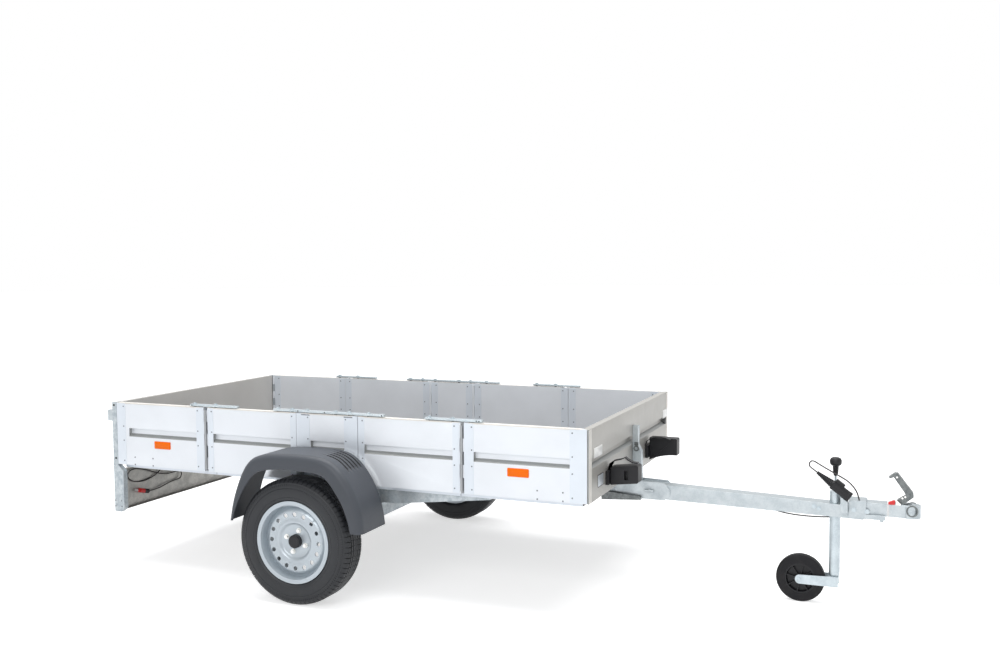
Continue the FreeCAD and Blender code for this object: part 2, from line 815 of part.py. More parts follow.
# Floor: a fixed middle and, at each end, an inner and an outer panel on flat hinges.
def floor_knuckles(name, x, z, way, own, leaf_top):
    """Knuckles of one flat hinge: own is this panel's share, way is where its leaves run."""
    barrels = []
    radius = d.floor_barrel_radius
    for side in (-1, 1):
        for index in range(3):
            if (index % 2 == 0) != own:
                continue
            middle = d.floor_barrel_y * side + d.floor_barrel_length * (index - 1)
            low = middle - (d.floor_barrel_length - d.knuckle_play) / 2
            high = middle + (d.floor_barrel_length - d.knuckle_play) / 2
            label = f"{name}{side + 1}{index}"
            barrels.append(rod(label, "y", (x, z), radius, low, high))
            far = x + (d.floor_edge_gap + 6) * way
            leaf = (x, far) if way > 0 else (far, x)
            barrels.append(box(label + "Leaf", leaf, (low, high), (z - radius + 0.5, leaf_top)))
    return barrels


def make_floor():
    half = floor_half_width
    top_pin_z = d.floor_top - d.floor_barrel_radius
    low_pin_z = floor_bottom - d.fold_pin_drop
    top_leaf, low_leaf = d.floor_top - 0.5, floor_bottom + 0.5
    edge = d.floor_pin_x - d.floor_edge_gap
    pieces = [box("FloorMiddle", (outwards(-1, edge), outwards(1, edge)), (-half, half),
                  (floor_bottom, d.floor_top))]
    for end in (-1, 1):
        pieces += floor_knuckles(f"FloorMiddleHinge{end + 1}", outwards(end, d.floor_pin_x), top_pin_z,
                                 -end, True, top_leaf)
    node("floor_centre", fuse("FloorCentre", pieces))
    fold_x = d.floor_pin_x + floor_panel
    for end, place in ((1, "front"), (-1, "rear")):
        name = "Floor" + place.capitalize()
        low, high = span(end, d.floor_pin_x + d.floor_edge_gap, fold_x - 1)
        panel = box(name + "InnerPanel", (low, high), (-half, half), (floor_bottom, d.floor_top))
        near = floor_knuckles(name + "NearHinge", outwards(end, d.floor_pin_x), top_pin_z, end, False,
                              top_leaf)
        fold = floor_knuckles(name + "FoldHingeA", outwards(end, fold_x), low_pin_z, -end, True, low_leaf)
        node(f"floor_{place}_inner", fuse(name + "Inner", [panel] + near + fold))
        low, high = span(end, fold_x + 1, fold_x + floor_panel - 2)
        panel = box(name + "OuterPanel", (low, high), (-half, half), (floor_bottom, d.floor_top))
        node(f"floor_{place}_outer", shifted(name + "Outer", panel))
        fold = floor_knuckles(name + "FoldHingeB", outwards(end, fold_x), low_pin_z, end, False,
                              floor_bottom)
        leaves = [fuse(f"{name}Leaf{side}", fold[side * 2:side * 2 + 2]) for side in (0, 1)]
        node(f"floor_hinge_{place}", group(name + "Hinge", leaves))


# Front board with its groove, and two wheel chocks in their holders.
def make_front_board():
    inner, outer = outwards(1, board_inner_x), outwards(1, board_outer_x)
    slim = wall_inner + d.seam_gap
    chamfer = outer - (inner + d.box_half_width - slim)
    corner = outer - chamfer
    board = prism("FrontPanel", "XY", [
        (inner, -slim), (corner, -d.box_half_width), (outer, -d.box_half_width),
        (outer, d.box_half_width), (corner, d.box_half_width), (inner, slim),
    ], d.wall_bottom, d.wall_top)
    groove = prism("FrontGroove", "XZ", [
        (outer + 1, d.groove_bottom), (outer - d.groove_depth, d.groove_back_bottom),
        (outer - d.groove_depth, d.groove_top), (outer + 1, d.groove_top),
    ], -(slim - 6), slim - 6)
    grooved = cut("FrontGrooved", board, [groove])
    pieces, cutters = [], []
    for side in (-1, 1):
        x, y = outwards(1, corner_pin_x), inner_pin_y * side
        for index, (low, high) in enumerate(corner_bands()):
            label = f"FrontCorner{side + 1}Band{index}"
            if index % 2:
                pieces.append(rod(label, "z", (x, y), d.barrel_radius, low, high))
                pieces.append(box(label + "Leaf", (x, inner + 2), (y - 2, y + 2), (low, high)))
            else:
                cutters.append(rod(label, "z", (x, y), d.barrel_radius + d.barrel_clear, low - 1, high + 1))
    node("front_board", fuse("FrontBoard", [cut("FrontCleared", grooved, cutters)] + pieces))


def make_chocks():
    back = front_face_x + d.seat_gap
    start = back + d.holder_depth + d.seat_gap
    half = d.chock_width / 2
    holders = []
    for name, middle in (("Right", d.chock_right_y), ("Left", d.chock_left_y)):
        holders.append(box("ChockHolder" + name, (back, back + d.holder_depth),
                           (middle - half - d.holder_side, middle + half + d.holder_side),
                           (d.holder_bottom, d.holder_bottom + d.holder_height)))
    node("chock_holders", group("ChockHolders", holders))
    end, bottom, top = start + d.chock_length, d.chock_bottom, d.chock_bottom + d.chock_height
    low, high = d.chock_right_y - half, d.chock_right_y + half
    right = rounded(prism("ChockRight", "XZ", [
        (start, bottom), (end, bottom + d.chock_rise), (end, top + d.chock_rise), (start, top),
    ], low, high), d.chock_corner, lambda edge: along("y")(edge) and edge.CenterOfMass.x > start.number + 9)
    slot_x, slot_z = start + d.chock_length / 2, bottom + (d.chock_height + d.chock_rise) / 2
    slot = box("ChockSlot", (slot_x, slot_x + d.chock_slot_length), (low - 1, low + d.chock_slot_depth),
               (slot_z - d.chock_slot_height / 2, slot_z + d.chock_slot_height / 2))
    end, bottom = start + d.chock_left_length, d.chock_left_bottom
    low, high = d.chock_left_y - half, d.chock_left_y + half
    top = bottom + d.chock_left_height
    left = rounded(prism("ChockLeft", "XZ", [(start, bottom), (end, bottom), (end, top), (start, top)],
                         low, high), d.chock_corner,
                   lambda edge: along("y")(edge) and edge.CenterOfMass.x > start.number + 9)
    arc_z = bottom + d.chock_hollow_rise - d.chock_hollow_radius
    hollow = rod("ChockHollow", "y", (end - 9, arc_z), d.chock_hollow_radius, low - 1, high + 1)
    node("wheel_chocks", group("WheelChocks", [cut("ChockSlotted", right, [slot]),
                                               cut("ChockHollowed", left, [hollow])]))


# Rear frame: corner posts, lamp board, lamps and the tailgate with its latches.
def make_rear():
    face = rear_outer_x
    inner = rear_inner_x
    side_in = d.box_half_width - d.rear_post_width
    foot = face + d.rear_post_foot
    post = prism("RearPost", "XZ", [
        (face, d.rear_post_bottom), (foot - d.rear_post_corner, d.rear_post_bottom),
        (foot, d.rear_post_bottom + d.rear_post_corner), (foot, d.lamp_board_top),
        (inner, d.wall_bottom - 4), (inner, d.wall_top), (face, d.wall_top),
    ], -d.box_half_width, -side_in)
    x, y = outwards(-1, corner_pin_x), -inner_pin_y
    knuckles, cutters = [], []
    for index, (low, high) in enumerate(corner_bands()):
        label = f"RearCornerBand{index}"
        if index % 2:
            knuckles.append(rod(label, "z", (x, y), d.barrel_radius, low, high))
            knuckles.append(box(label + "Leaf", (inner - 2, x), (y - 4, y - 0.5), (low, high)))
        else:
            cutters.append(rod(label, "z", (x, y), d.barrel_radius + d.barrel_clear, low - 1, high + 1))
    gate_side = side_in - d.tailgate_side_gap
    pin_x = face + d.rear_post_width / 2
    pin = rod("TailgatePin", "y", (pin_x, d.tailgate_pin_z), d.tailgate_pin_radius,
              -side_in - 2, 26 - gate_side)
    right = fuse("RearPostRight", [cut("RearPostCleared", post, cutters), pin] + knuckles)
    sill = box("RearSill", (face, inner - 1), (-side_in - 1, side_in + 1), (d.wall_bottom, d.sill_top))
    node("rear_posts", fuse("RearPosts", [right, mirror("RearPostLeft", right, "y"), sill]))
    wall, flange = d.lamp_board_wall, d.lamp_board_flange
    bottom, top = d.rear_post_bottom, d.lamp_board_top
    board = prism("LampBoard", "XZ", [
        (face, bottom), (face + flange, bottom), (face + flange, bottom + wall), (face + wall, bottom + wall),
        (face + wall, top - wall), (face + flange, top - wall), (face + flange, top), (face, top),
    ], -(side_in - d.seat_gap), side_in - d.seat_gap)
    node("lamp_board", board)
    lamp = box("LampRight", (face - d.seat_gap - d.lamp_depth, face - d.seat_gap),
               (-side_in + 12, -side_in + 12 + d.lamp_width),
               (d.lamp_z - d.lamp_height / 2, d.lamp_z + d.lamp_height / 2))
    node("rear_lamps", group("RearLamps", [lamp, mirror("LampLeft", lamp, "y")]))
    gate = box("TailgatePanel", (face, inner), (-gate_side, gate_side), (d.tailgate_bottom, d.wall_top))
    room = rod("TailgatePinRoom", "y", (pin_x, d.tailgate_pin_z), d.tailgate_pin_radius + d.seat_gap,
               -gate_side - 1, 27 - gate_side)
    node("tailgate", cut("Tailgate", gate, [room, mirror("TailgatePinRoomLeft", room, "y")]))
    latch = prism("LatchRight", "XZ", [
        (face - d.seat_gap, latch_bottom), (face - d.seat_gap, latch_top),
        (face - d.latch_depth + 12, latch_top), (face - d.latch_depth, latch_top - 16),
        (face - d.latch_depth, latch_bottom + 6), (face - d.latch_depth + 6, latch_bottom),
    ], -gate_side + 8, -gate_side + 34)
    node("tailgate_latches", group("TailgateLatches", [latch, mirror("LatchLeft", latch, "y")]))


# Drawbar, front post with its cheeks, coupling head and lever.
def make_drawbar():
    start = beam_front + d.seat_gap
    half = d.beam_half_width
    bar = prism("DrawbarTube", "XZ", [
        (start, d.drawbar_root_top), (start, d.drawbar_root_top - d.drawbar_root_depth),
        (d.drawbar_tip, d.drawbar_tip_top - d.drawbar_tip_depth), (d.drawbar_tip, d.drawbar_tip_top),
    ], -half, half)
    hole = rod("JockeyHole", "z", (d.jockey_x, 0), d.jockey_tube_radius + d.seat_gap, 300, 600)
    clips = []
    for name, low, high, place in (
            ("Front", clip_front_x, clip_front_x + d.clip_length, CABLE_UNDER[0]),
            ("Rear", clip_rear_x - d.clip_length, clip_rear_x, CABLE_UNDER[-1])):
        clips.append(box("CableClip" + name, (low, high),
                         (place[1] - d.clip_width / 2, place[1] + d.clip_width / 2),
                         (place[2] - d.clip_drop, d.drawbar_tip_top - d.drawbar_tip_depth + 10)))
    node("drawbar", fuse("DrawbarClipped", [cut("Drawbar", bar, [hole])] + clips))


def make_front_post():
    start = front_face_x + d.seat_gap
    end = start + d.post_depth
    cheek = d.beam_half_width + d.seat_gap
    nose = start + d.cheek_length
    under = d.drawbar_root_top - d.drawbar_root_depth - d.cheek_drop
    over = d.drawbar_root_top + d.cheek_rise
    outline = [
        (start - d.cheek_tail, under), (start + 2, under), (start + 8, under - d.hook_depth),
        (start + 42, under - d.hook_depth), (start + 50, under), (nose - 26, under),
        (nose, under + 22), (nose, over - 28), (nose - 26, over), (end + 10, over + 4),
        (end + 10, over + 24), (start, over + 24), (start, over + 4), (start - d.cheek_tail, over),
    ]
    pieces = []
    for side in (-1, 1):
        low, high = (cheek, cheek + d.cheek_thickness) if side > 0 else (-cheek - d.cheek_thickness, -cheek)
        pieces.append(prism(f"PostCheek{side + 1}", "XZ", outline, low, high))
    reach = cheek + d.cheek_thickness
    half = d.post_width / 2
    pieces.append(box("PostBridge", (start, end), (-reach, reach), (over + 10, over + 24)))
    pieces.append(box("PostTube", (start, end), (-half, half), (over + 16, d.post_top)))
    bolt_x, bolt_z = end + 60, d.drawbar_root_top - d.drawbar_root_depth / 2
    pieces.append(rod("PostBolt", "y", (bolt_x, bolt_z), 8, -reach - 12, -reach + 1))
    pieces.append(rod("PostHandle", "x", (-reach - 12, bolt_z), 5, bolt_x - 22, bolt_x + 22))
    node("front_post", fuse("FrontPost", pieces))


def make_coupling():
    reach = d.beam_half_width - 4
    top, bottom = d.head_top, d.head_bottom
    clear = d.drawbar_tip + d.seat_gap
    neck = prism("HeadNeck", "XY", [
        (clear, -reach), (d.socket_x - d.head_neck, -reach + 4), (d.socket_x, -d.socket_radius + 4),
        (d.socket_x, d.socket_radius - 4), (d.socket_x - d.head_neck, reach - 4), (clear, reach),
    ], bottom, top - 6)
    side, snug = reach + d.sleeve_side, d.beam_half_width + d.seat_gap
    sleeve = box("HeadSleeve", (d.head_rear, clear + 10), (-side, side), (bottom - d.sleeve_drop, top))
    room = box("SleeveRoom", (d.head_rear - 1, clear), (-snug, snug),
               (bottom - d.sleeve_drop + d.sleeve_wall, d.drawbar_tip_top + d.sleeve_wall))
    socket = rod("HeadSocket", "z", (d.socket_x, 0), d.socket_radius, bottom, top - d.head_crown_drop)
    dome = doc.addObject("Part::Sphere", "HeadDome")
    bind(dome, "Radius", d.socket_radius)
    bind(dome, "Placement.Base.x", d.socket_x)
    bind(dome, "Placement.Base.z", bottom + d.ball_depth)
    lid = box("HeadLid", (d.socket_x - 60, d.socket_x + 60), (-60, 60), (bottom, top + 2))
    cap = doc.addObject("Part::Common", "HeadCap")
    cap.Base, cap.Tool = dome, lid
    ball = doc.addObject("Part::Sphere", "BallRoom")
    bind(ball, "Radius", d.ball_bore_radius)
    bind(ball, "Placement.Base.x", d.socket_x)
    bind(ball, "Placement.Base.z", bottom + d.ball_depth)
    bore = rod("BallMouth", "z", (d.socket_x, 0), d.ball_bore_radius, bottom - 20, bottom + d.ball_depth)
    head = fuse("HeadSolid", [neck, sleeve, socket, cap])
    node("coupling_head", cut("CouplingHead", head, [ball, bore, room]))
    root = d.socket_x - d.lever_reach
    seat = top - 6 + d.seat_gap
    elbow = root + d.lever_elbow
    tip_x, tip_z = root - 4, top + d.lever_rise
    lever = prism("CouplingLever", "XZ", [
        (root, seat), (root + 32, seat), (elbow, top + 31), (elbow - 2, top + 49),
        (tip_x + 13, tip_z), (tip_x, tip_z), (tip_x - 23, tip_z - 20), (tip_x - 17, tip_z - 26),
        (tip_x - 3, tip_z - 18), (elbow - 31, top + 42), (elbow - 35, top + 33), (root + 10, top + 14),
    ], -d.lever_half_width, d.lever_half_width)
    node("coupling_lever", lever)


# Jockey wheel: tube through the drawbar, crank, swivelling fork and small wheel.
def make_jockey():
    x = d.jockey_x
    tube = rod("JockeyOuter", "z", (x, 0), d.jockey_tube_radius, d.jockey_tube_bottom, d.jockey_tube_top)
    leg_top = d.jockey_tube_bottom + d.jockey_leg_cover
    bore = rod("JockeyBore", "z", (x, 0), d.jockey_leg_radius + 0.6, d.jockey_tube_bottom - 1, leg_top + 2)
    node("jockey_tube", cut("JockeyTube", tube, [bore]))
    neck = d.jockey_tube_top + d.crank_stem - 4
    knob = neck + d.crank_neck + 2
    top, radius = knob + d.crank_knob - 4, d.crank_knob_radius
    crank = spun("JockeyCrank", [
        (0, d.jockey_tube_top), (5, d.jockey_tube_top), (5, neck), (8, neck), (11, neck + 12),
        (13, knob), (radius - 3, knob + 5), (radius, knob + 13), (radius, knob + 24),
        (radius - 4, top - 4), (radius - 12, top), (0, top),
    ], x)
    node("jockey_crank", shifted("JockeyCrankPlaced", crank))
    axle_x = x - d.jockey_trail
    gap = d.jockey_wheel_half_width + d.fork_gap
    half = d.fork_half_height
    axle_z = d.jockey_wheel_radius
    pieces = [rod("JockeyLeg", "z", (x, 0), d.jockey_leg_radius, axle_z, leg_top)]
    for side in (-1, 1):
        low, high = (gap, gap + d.fork_plate) if side > 0 else (-gap - d.fork_plate, -gap)
        plate = prism(f"ForkPlate{side + 1}", "XZ", [
            (axle_x, axle_z - half), (x + 19, axle_z - half), (x + 19, axle_z + 24), (x - 22, axle_z + 24),
            (axle_x, axle_z + half),
        ], low, high)
        pieces.append(plate)
        pieces.append(rod(f"ForkEye{side + 1}", "y", (axle_x, axle_z), half, low, high))
    reach = gap + d.fork_plate
    pieces.append(box("ForkCrown", (x - 22, x + 19), (-reach, reach), (axle_z + 4, axle_z + 24)))
    pieces.append(rod("ForkAxle", "y", (axle_x, axle_z), 7, -reach - 5, reach + 5))
    node("jockey_fork", fuse("JockeyFork", pieces))
    half = d.jockey_wheel_half_width
    radius = d.jockey_wheel_radius
    wheel = turned("JockeyWheelTurned", [
        (-half, 7.6), (-half, 26), (6 - half, 30), (6 - half, 66), (-half, 70), (-half, radius - 14),
        (12 - half, radius), (half - 12, radius), (half, radius - 14), (half, 70), (half - 6, 66),
        (half - 6, 30), (half, 26), (half, 7.6),
    ], 0, axle_z)
    bind(wheel, "Placement.Base.x", axle_x)
    node("jockey_wheel", shifted("JockeyWheel", wheel))


# Mudguards: a moulded arch with an outer lip, and their stays on the frame.
# The arch's corners from the rear foot to the front foot, in tyre radii from the wheel centre.
GUARD_ARCH = [(-1.089, 0.289), (-0.975, 0.7), (-0.471, 1.296), (0.225, 1.457),
              (0.757, 1.443), (1.136, 1.089), (1.296, 0.311)]


def arch(inset, foot=0):
    """The arch moved inwards by an inset, with its two feet moved down."""
    ways = []
    for (x0, z0), (x1, z1) in zip(GUARD_ARCH, GUARD_ARCH[1:]):
        run = math.hypot(x1 - x0, z1 - z0)
        ways.append(((z1 - z0) / run, (x0 - x1) / run))
    corners = []
    for number, (x, z) in enumerate(GUARD_ARCH):
        before, after = ways[max(number - 1, 0)], ways[min(number, len(ways) - 1)]
        share = 1 + before[0] * after[0] + before[1] * after[1]
        moved_x = d.tyre_radius * x + inset * ((before[0] + after[0]) / share)
        moved_z = d.tyre_radius * (1 + z) + inset * ((before[1] + after[1]) / share)
        corners.append([moved_x, moved_z])
    for end in (0, -1):
        corners[end][1] = d.tyre_radius * (1 + GUARD_ARCH[end][1]) - foot
    return corners


def arch_block(name, inset, foot, low, high):
    """A block with the arch's outline and its bends, over a stretch along Y."""
    block = prism(name, "XZ", arch(inset, foot), low, high)
    knee = d.tyre_radius * 1.6
    bend = d.tyre_radius * 0.62 - inset
    return rounded(block, bend, lambda edge: along("y")(edge) and edge.CenterOfMass.z > knee.number)


def make_mudguards():
    low, wall = -guard_outer_y, d.guard_wall
    outer = arch_block("GuardOuter", as_size(0), 0, low, -guard_inner_y)
    inner = arch_block("GuardRoom", wall, 20, low + wall, -guard_inner_y + 20)
    mouth = arch_block("GuardMouth", d.guard_lip, 20, low - 1, low + wall + 1)
    both_sides("mudguard", cut("Mudguard", outer, [inner, mouth]))


# Each stay's rear edge and the arch's height over it, in tyre radii from the wheel centre.
STAY_SPOTS = [(0.214, 1.449), (-0.357, 1.3129)]


def make_stays():
    wall = d.stay_wall
    leg = d.box_half_width + d.stay_stand_off
    low = d.rail_bottom - d.seat_gap
    inner = rail_outer_y - 35
    outer = guard_outer_y - d.guard_wall - d.stay_end_gap
    stays = []
    for number, (edge, rise) in enumerate(STAY_SPOTS):
        start = d.tyre_radius * edge
        top = d.tyre_radius * (1 + rise) - d.guard_wall - d.seat_gap
        right = prism(f"Stay{number}", "YZ", [
            (-inner, low), (-inner, low - wall), (-leg - wall, low - wall),
            (-leg - wall, top - wall), (-outer, top - wall), (-outer, top), (-leg, top), (-leg, low),
        ], start, start + d.stay_width)
        stays += [right, mirror(f"StayLeft{number}", right, "y")]
    node("mudguard_stays", group("MudguardStays", stays))


# Lighting plug parked on a bracket beside the drawbar, and its cable.
def make_plug():
    slope = math.radians(SIZES["plug_tilt"])
    way = Vector(-math.cos(slope), 0, math.sin(slope))
    turn = Rotation(Vector(0, 0, 1), way)
    body = doc.addObject("Part::Cylinder", "PlugBody")
    bind(body, "Radius", d.plug_radius)
    bind(body, "Height", d.plug_length)
    boot = doc.addObject("Part::Cone", "PlugBoot")
    bind(boot, "Radius1", d.plug_radius - 4)
    bind(boot, "Radius2", d.boot_tip_radius)
    bind(boot, "Height", d.boot_length)
    for piece, ahead in ((body, 0), (boot, SIZES["plug_length"] - 1)):
        piece.Placement.Rotation = turn
        bind(piece, "Placement.Base.x", d.plug_x + way.x * ahead)
        bind(piece, "Placement.Base.y", d.plug_y)
        bind(piece, "Placement.Base.z", d.plug_z + way.z * ahead)
    up = Vector(way.z, 0, -way.x)
    clip = doc.addObject("Part::Box", "PlugClip")
    bind(clip, "Length", d.plug_clip_height + 3)
    bind(clip, "Width", d.plug_clip_width)
    bind(clip, "Height", d.plug_clip_length)
    clip.Placement.Rotation = turn
    seat, ahead = d.plug_radius - 3, d.plug_clip_start
    bind(clip, "Placement.Base.x", d.plug_x + ahead * way.x + seat * up.x)
    bind(clip, "Placement.Base.y", d.plug_y - d.plug_clip_width / 2)
    bind(clip, "Placement.Base.z", d.plug_z + ahead * way.z + seat * up.z)
    node("plug", fuse("Plug", [body, boot, clip]))
    room = doc.addObject("Part::Cylinder", "PlugRoom")
    bind(room, "Radius", d.plug_radius + d.seat_gap)
    bind(room, "Height", d.plug_length + 40)
    room.Placement.Rotation = turn
    bind(room, "Placement.Base.x", d.plug_x - way.x * 20)
    bind(room, "Placement.Base.y", d.plug_y)
    bind(room, "Placement.Base.z", d.plug_z - way.z * 20)
    side = d.beam_half_width + d.seat_gap
    block = box("PlugBracketBlock", (d.plug_x - 38, d.plug_x - 8), (d.plug_y - 9, -side),
                (d.plug_z - d.plug_bracket_drop, d.plug_z + 5))
    node("plug_bracket", cut("PlugBracket", block, [room]))


def cable(label, route, diameter):
    """A cable's solid: straight runs joined by arcs that touch them, each as large as fits."""
    corners = [Vector(*place) for place in route]
    edges, radii, here = [], [], corners[0]
    for before, corner, after in zip(corners, corners[1:], corners[2:]):
        back, ahead = (before - corner).normalize(), (after - corner).normalize()
        half_turn = (math.pi - back.getAngle(ahead)) / 2
        trim = 0.45 * min((before - corner).Length, (after - corner).Length)
        radii.append(trim / math.tan(half_turn))
        start, end = corner + back * trim, corner + ahead * trim
        inward = (back + ahead).normalize()
        middle = corner + inward * (radii[-1] / math.cos(half_turn) - radii[-1])
        edges += [Part.LineSegment(here, start).toShape(), Part.Arc(start, middle, end).toShape()]
        here = end
    edges.append(Part.LineSegment(here, corners[-1]).toShape())
    path = Part.Wire(edges)
    ring = Part.Circle(corners[0], corners[1] - corners[0], diameter / 2)
    tube = path.makePipeShell([Part.Wire([ring.toShape()])], True, False)
    wanted = math.pi * diameter ** 2 / 4 * path.Length
    if abs(tube.Volume / wanted - 1) > 0.01:
        raise RuntimeError(f"{label} has volume {tube.Volume:.0f}, wanted {wanted:.0f}")
    print(label, "length", round(path.Length), "radii", [round(radius) for radius in radii])
    piece = doc.addObject("Part::Feature", label.title().replace("_", ""))
    piece.Shape = tube
    node(label, piece)


def make_connector():
    start, end = Vector(*CABLE_REAR[-1]), Vector(*CONNECTOR_TIP)
    way = (end - start).normalize()
    pieces = []
    for name, radius, length, ahead in (
            ("ConnectorBody", d.connector_radius, d.connector_length, 0),
            ("ConnectorTip", d.connector_tip_radius, d.connector_tip_length, SIZES["connector_length"] - 1)):
        piece = doc.addObject("Part::Cylinder", name)
        bind(piece, "Radius", radius)
        bind(piece, "Height", length)
        piece.Placement.Rotation = Rotation(Vector(0, 0, 1), way)
        piece.Placement.Base = start + way * ahead
        pieces.append(piece)
    node("rear_connector", fuse("RearConnector", pieces))


make_tyre()
make_rim()
make_hub()
make_axle()
make_arm()
make_frame()
make_walls()
make_bars()
make_floor()
make_front_board()
make_chocks()
make_rear()
make_drawbar()
make_front_post()
make_coupling()
make_jockey()
make_mudguards()
make_stays()
make_plug()
make_connector()
for cable_name, cable_route in (("cable_plug", CABLE_PLUG), ("cable_under", CABLE_UNDER),
                                ("cable_rear", CABLE_REAR)):
    cable(cable_name, cable_route, SIZES["cable_diameter"])
doc.recompute()

for item in doc.Objects:
    if "Invalid" in item.State or "Error" in item.State:
        raise RuntimeError(f"{item.Label} failed: {item.State}")
for piece in nodes:
    if piece.Shape.isNull() or not piece.Shape.isValid():
        raise RuntimeError(f"{piece.Label} has no valid shape")

os.makedirs("parts", exist_ok=True)
for piece in nodes:
    piece.Shape.exportStep(f"parts/{piece.Label}.step")
print(len(nodes), "nodes written")
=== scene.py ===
# %% [markdown]
# A folding box trailer of aluminium boards on a galvanised frame. The solids come from the
# construction model and carry the sizes. This lesson gives each of them its real surface, adds
# what is too fine for the solids, and lights the whole as a catalogue photograph does.

# %% Load the solids
import json
import math

import bmesh
import bpy
from mathutils import Matrix, Vector


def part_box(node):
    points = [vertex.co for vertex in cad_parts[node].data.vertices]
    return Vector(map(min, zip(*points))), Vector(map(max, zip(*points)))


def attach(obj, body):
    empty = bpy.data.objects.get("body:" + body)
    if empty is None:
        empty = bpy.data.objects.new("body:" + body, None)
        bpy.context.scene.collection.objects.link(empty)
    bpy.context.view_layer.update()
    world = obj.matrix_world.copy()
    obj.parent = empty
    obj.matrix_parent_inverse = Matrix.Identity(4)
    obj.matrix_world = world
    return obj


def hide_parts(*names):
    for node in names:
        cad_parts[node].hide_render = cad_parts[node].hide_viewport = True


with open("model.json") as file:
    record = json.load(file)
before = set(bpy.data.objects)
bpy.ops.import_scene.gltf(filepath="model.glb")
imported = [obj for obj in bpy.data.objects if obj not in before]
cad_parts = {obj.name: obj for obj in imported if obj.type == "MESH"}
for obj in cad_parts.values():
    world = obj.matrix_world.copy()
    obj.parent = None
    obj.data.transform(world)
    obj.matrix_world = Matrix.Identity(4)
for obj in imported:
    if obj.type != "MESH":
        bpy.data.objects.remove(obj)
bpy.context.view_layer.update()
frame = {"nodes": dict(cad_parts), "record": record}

NODES = frame["nodes"]
BODY_OF = {node: body for body, nodes in frame["record"]["behaviour"]["bodies"].items() for node in nodes}
SIDES = ((-1, "right"), (1, "left"))
tyre_low, tyre_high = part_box("tyre_right")
AXLE_X = (tyre_low.x + tyre_high.x) / 2
WHEEL_Y, WHEEL_Z = 0.8205, (tyre_low.z + tyre_high.z) / 2
print("solids:", len(NODES), "axle at x", round(AXLE_X, 4), "wheel centre at z", round(WHEEL_Z, 4))

# %% [markdown]
# The photograph was taken from the right, a little ahead of the wheel and slightly above the
# box. A camera is a place, a lens and two directions. The direction is written as a turn to the
# left, a tilt down and a small roll, and the three axes of the camera follow from them.

# %% Camera
CAMERA_PLACE = Vector((1.8967, -4.6624, 1.4883))
CAMERA_TURN, CAMERA_TILT, CAMERA_ROLL = map(math.radians, (22.5604, 3.8003, -0.34))
LENS_MM, SENSOR_MM = 37.53, 36


def add_object(name, data):
    """A new object at the origin of the scene."""
    obj = bpy.data.objects.new(name, data)
    bpy.context.scene.collection.objects.link(obj)
    return obj


def aim_camera(turn, tilt, roll):
    """The camera at the photograph's place, turn, tilt and roll."""
    ahead = Vector((-math.sin(turn) * math.cos(tilt), math.cos(turn) * math.cos(tilt), -math.sin(tilt)))
    right = Vector((math.cos(turn), math.sin(turn), 0))
    right = right * math.cos(roll) + right.cross(ahead) * math.sin(roll)
    up = right.cross(ahead)
    data = bpy.data.cameras.new("Camera")
    data.lens, data.sensor_width = LENS_MM, SENSOR_MM
    camera = add_object("Camera", data)
    camera.matrix_world = Matrix.Translation(CAMERA_PLACE) @ Matrix((right, up, -ahead)).transposed().to_4x4()
    bpy.context.scene.camera = camera


aim_camera(CAMERA_TURN, CAMERA_TILT, CAMERA_ROLL)
print("camera at", tuple(CAMERA_PLACE), "with a lens of", LENS_MM, "mm")

# %% [markdown]
# A shader node group is a small machine that several materials share. Each one below puts out
# only colours, masks and heights, and the shader itself stays in the material. Nodes are made
# by one helper, which takes a link or a plain value for each input, so that a group reads as a
# list of what feeds what.

# %% Helpers for node trees
def connect(tree, node, inputs):
    """Give inputs of a node, by name or number, a link or a plain value."""
    for label, value in inputs.items():
        if isinstance(value, bpy.types.NodeSocket):
            tree.links.new(value, node.inputs[label])
        else:
            node.inputs[label].default_value = value


def add(tree, kind, inputs={}, **settings):
    """One node with its settings and inputs."""
    node = tree.nodes.new(kind)
    for key, value in settings.items():
        setattr(node, key, value)
    connect(tree, node, inputs)
    return node


def new_tree(kind, name, inputs, outputs):
    """An empty node group, what its named inputs give, and its end node."""
    tree = bpy.data.node_groups.new(name, kind + "NodeTree")
    for label, socket, *value in inputs:
        made = tree.interface.new_socket(label, in_out="INPUT", socket_type="NodeSocket" + socket)
        if value:
            made.default_value = value[0]
    for label, socket in outputs:
        tree.interface.new_socket(label, in_out="OUTPUT", socket_type="NodeSocket" + socket)
    return tree, tree.nodes.new("NodeGroupInput").outputs, tree.nodes.new("NodeGroupOutput")


def maths(tree, operation, *values):
    """A sum with sockets and numbers."""
    return add(tree, "ShaderNodeMath", dict(enumerate(values)), operation=operation).outputs[0]


def mix_colour(tree, factor, first, second):
    """Two colours mixed."""
    return add(tree, "ShaderNodeMix", {0: factor, 6: first, 7: second}, data_type="RGBA").outputs[2]


def ramp(tree, value, low, high, to_low=0.0, to_high=1.0):
    """A smooth step of a value from one span to another."""
    spans = {"Value": value, "From Min": low, "From Max": high, "To Min": to_low, "To Max": to_high}
    return add(tree, "ShaderNodeMapRange", spans, interpolation_type="SMOOTHSTEP").outputs["Result"]


# %% [markdown]
# Hot-dip zinc cools into flat crystals, and the coat is lighter and darker in slow clouds. A
# Voronoi texture gives every crystal its own grey and a noise gives the clouds. Their sum mixes
# the colours and also sets roughness and height, since a real flake shows in all three.

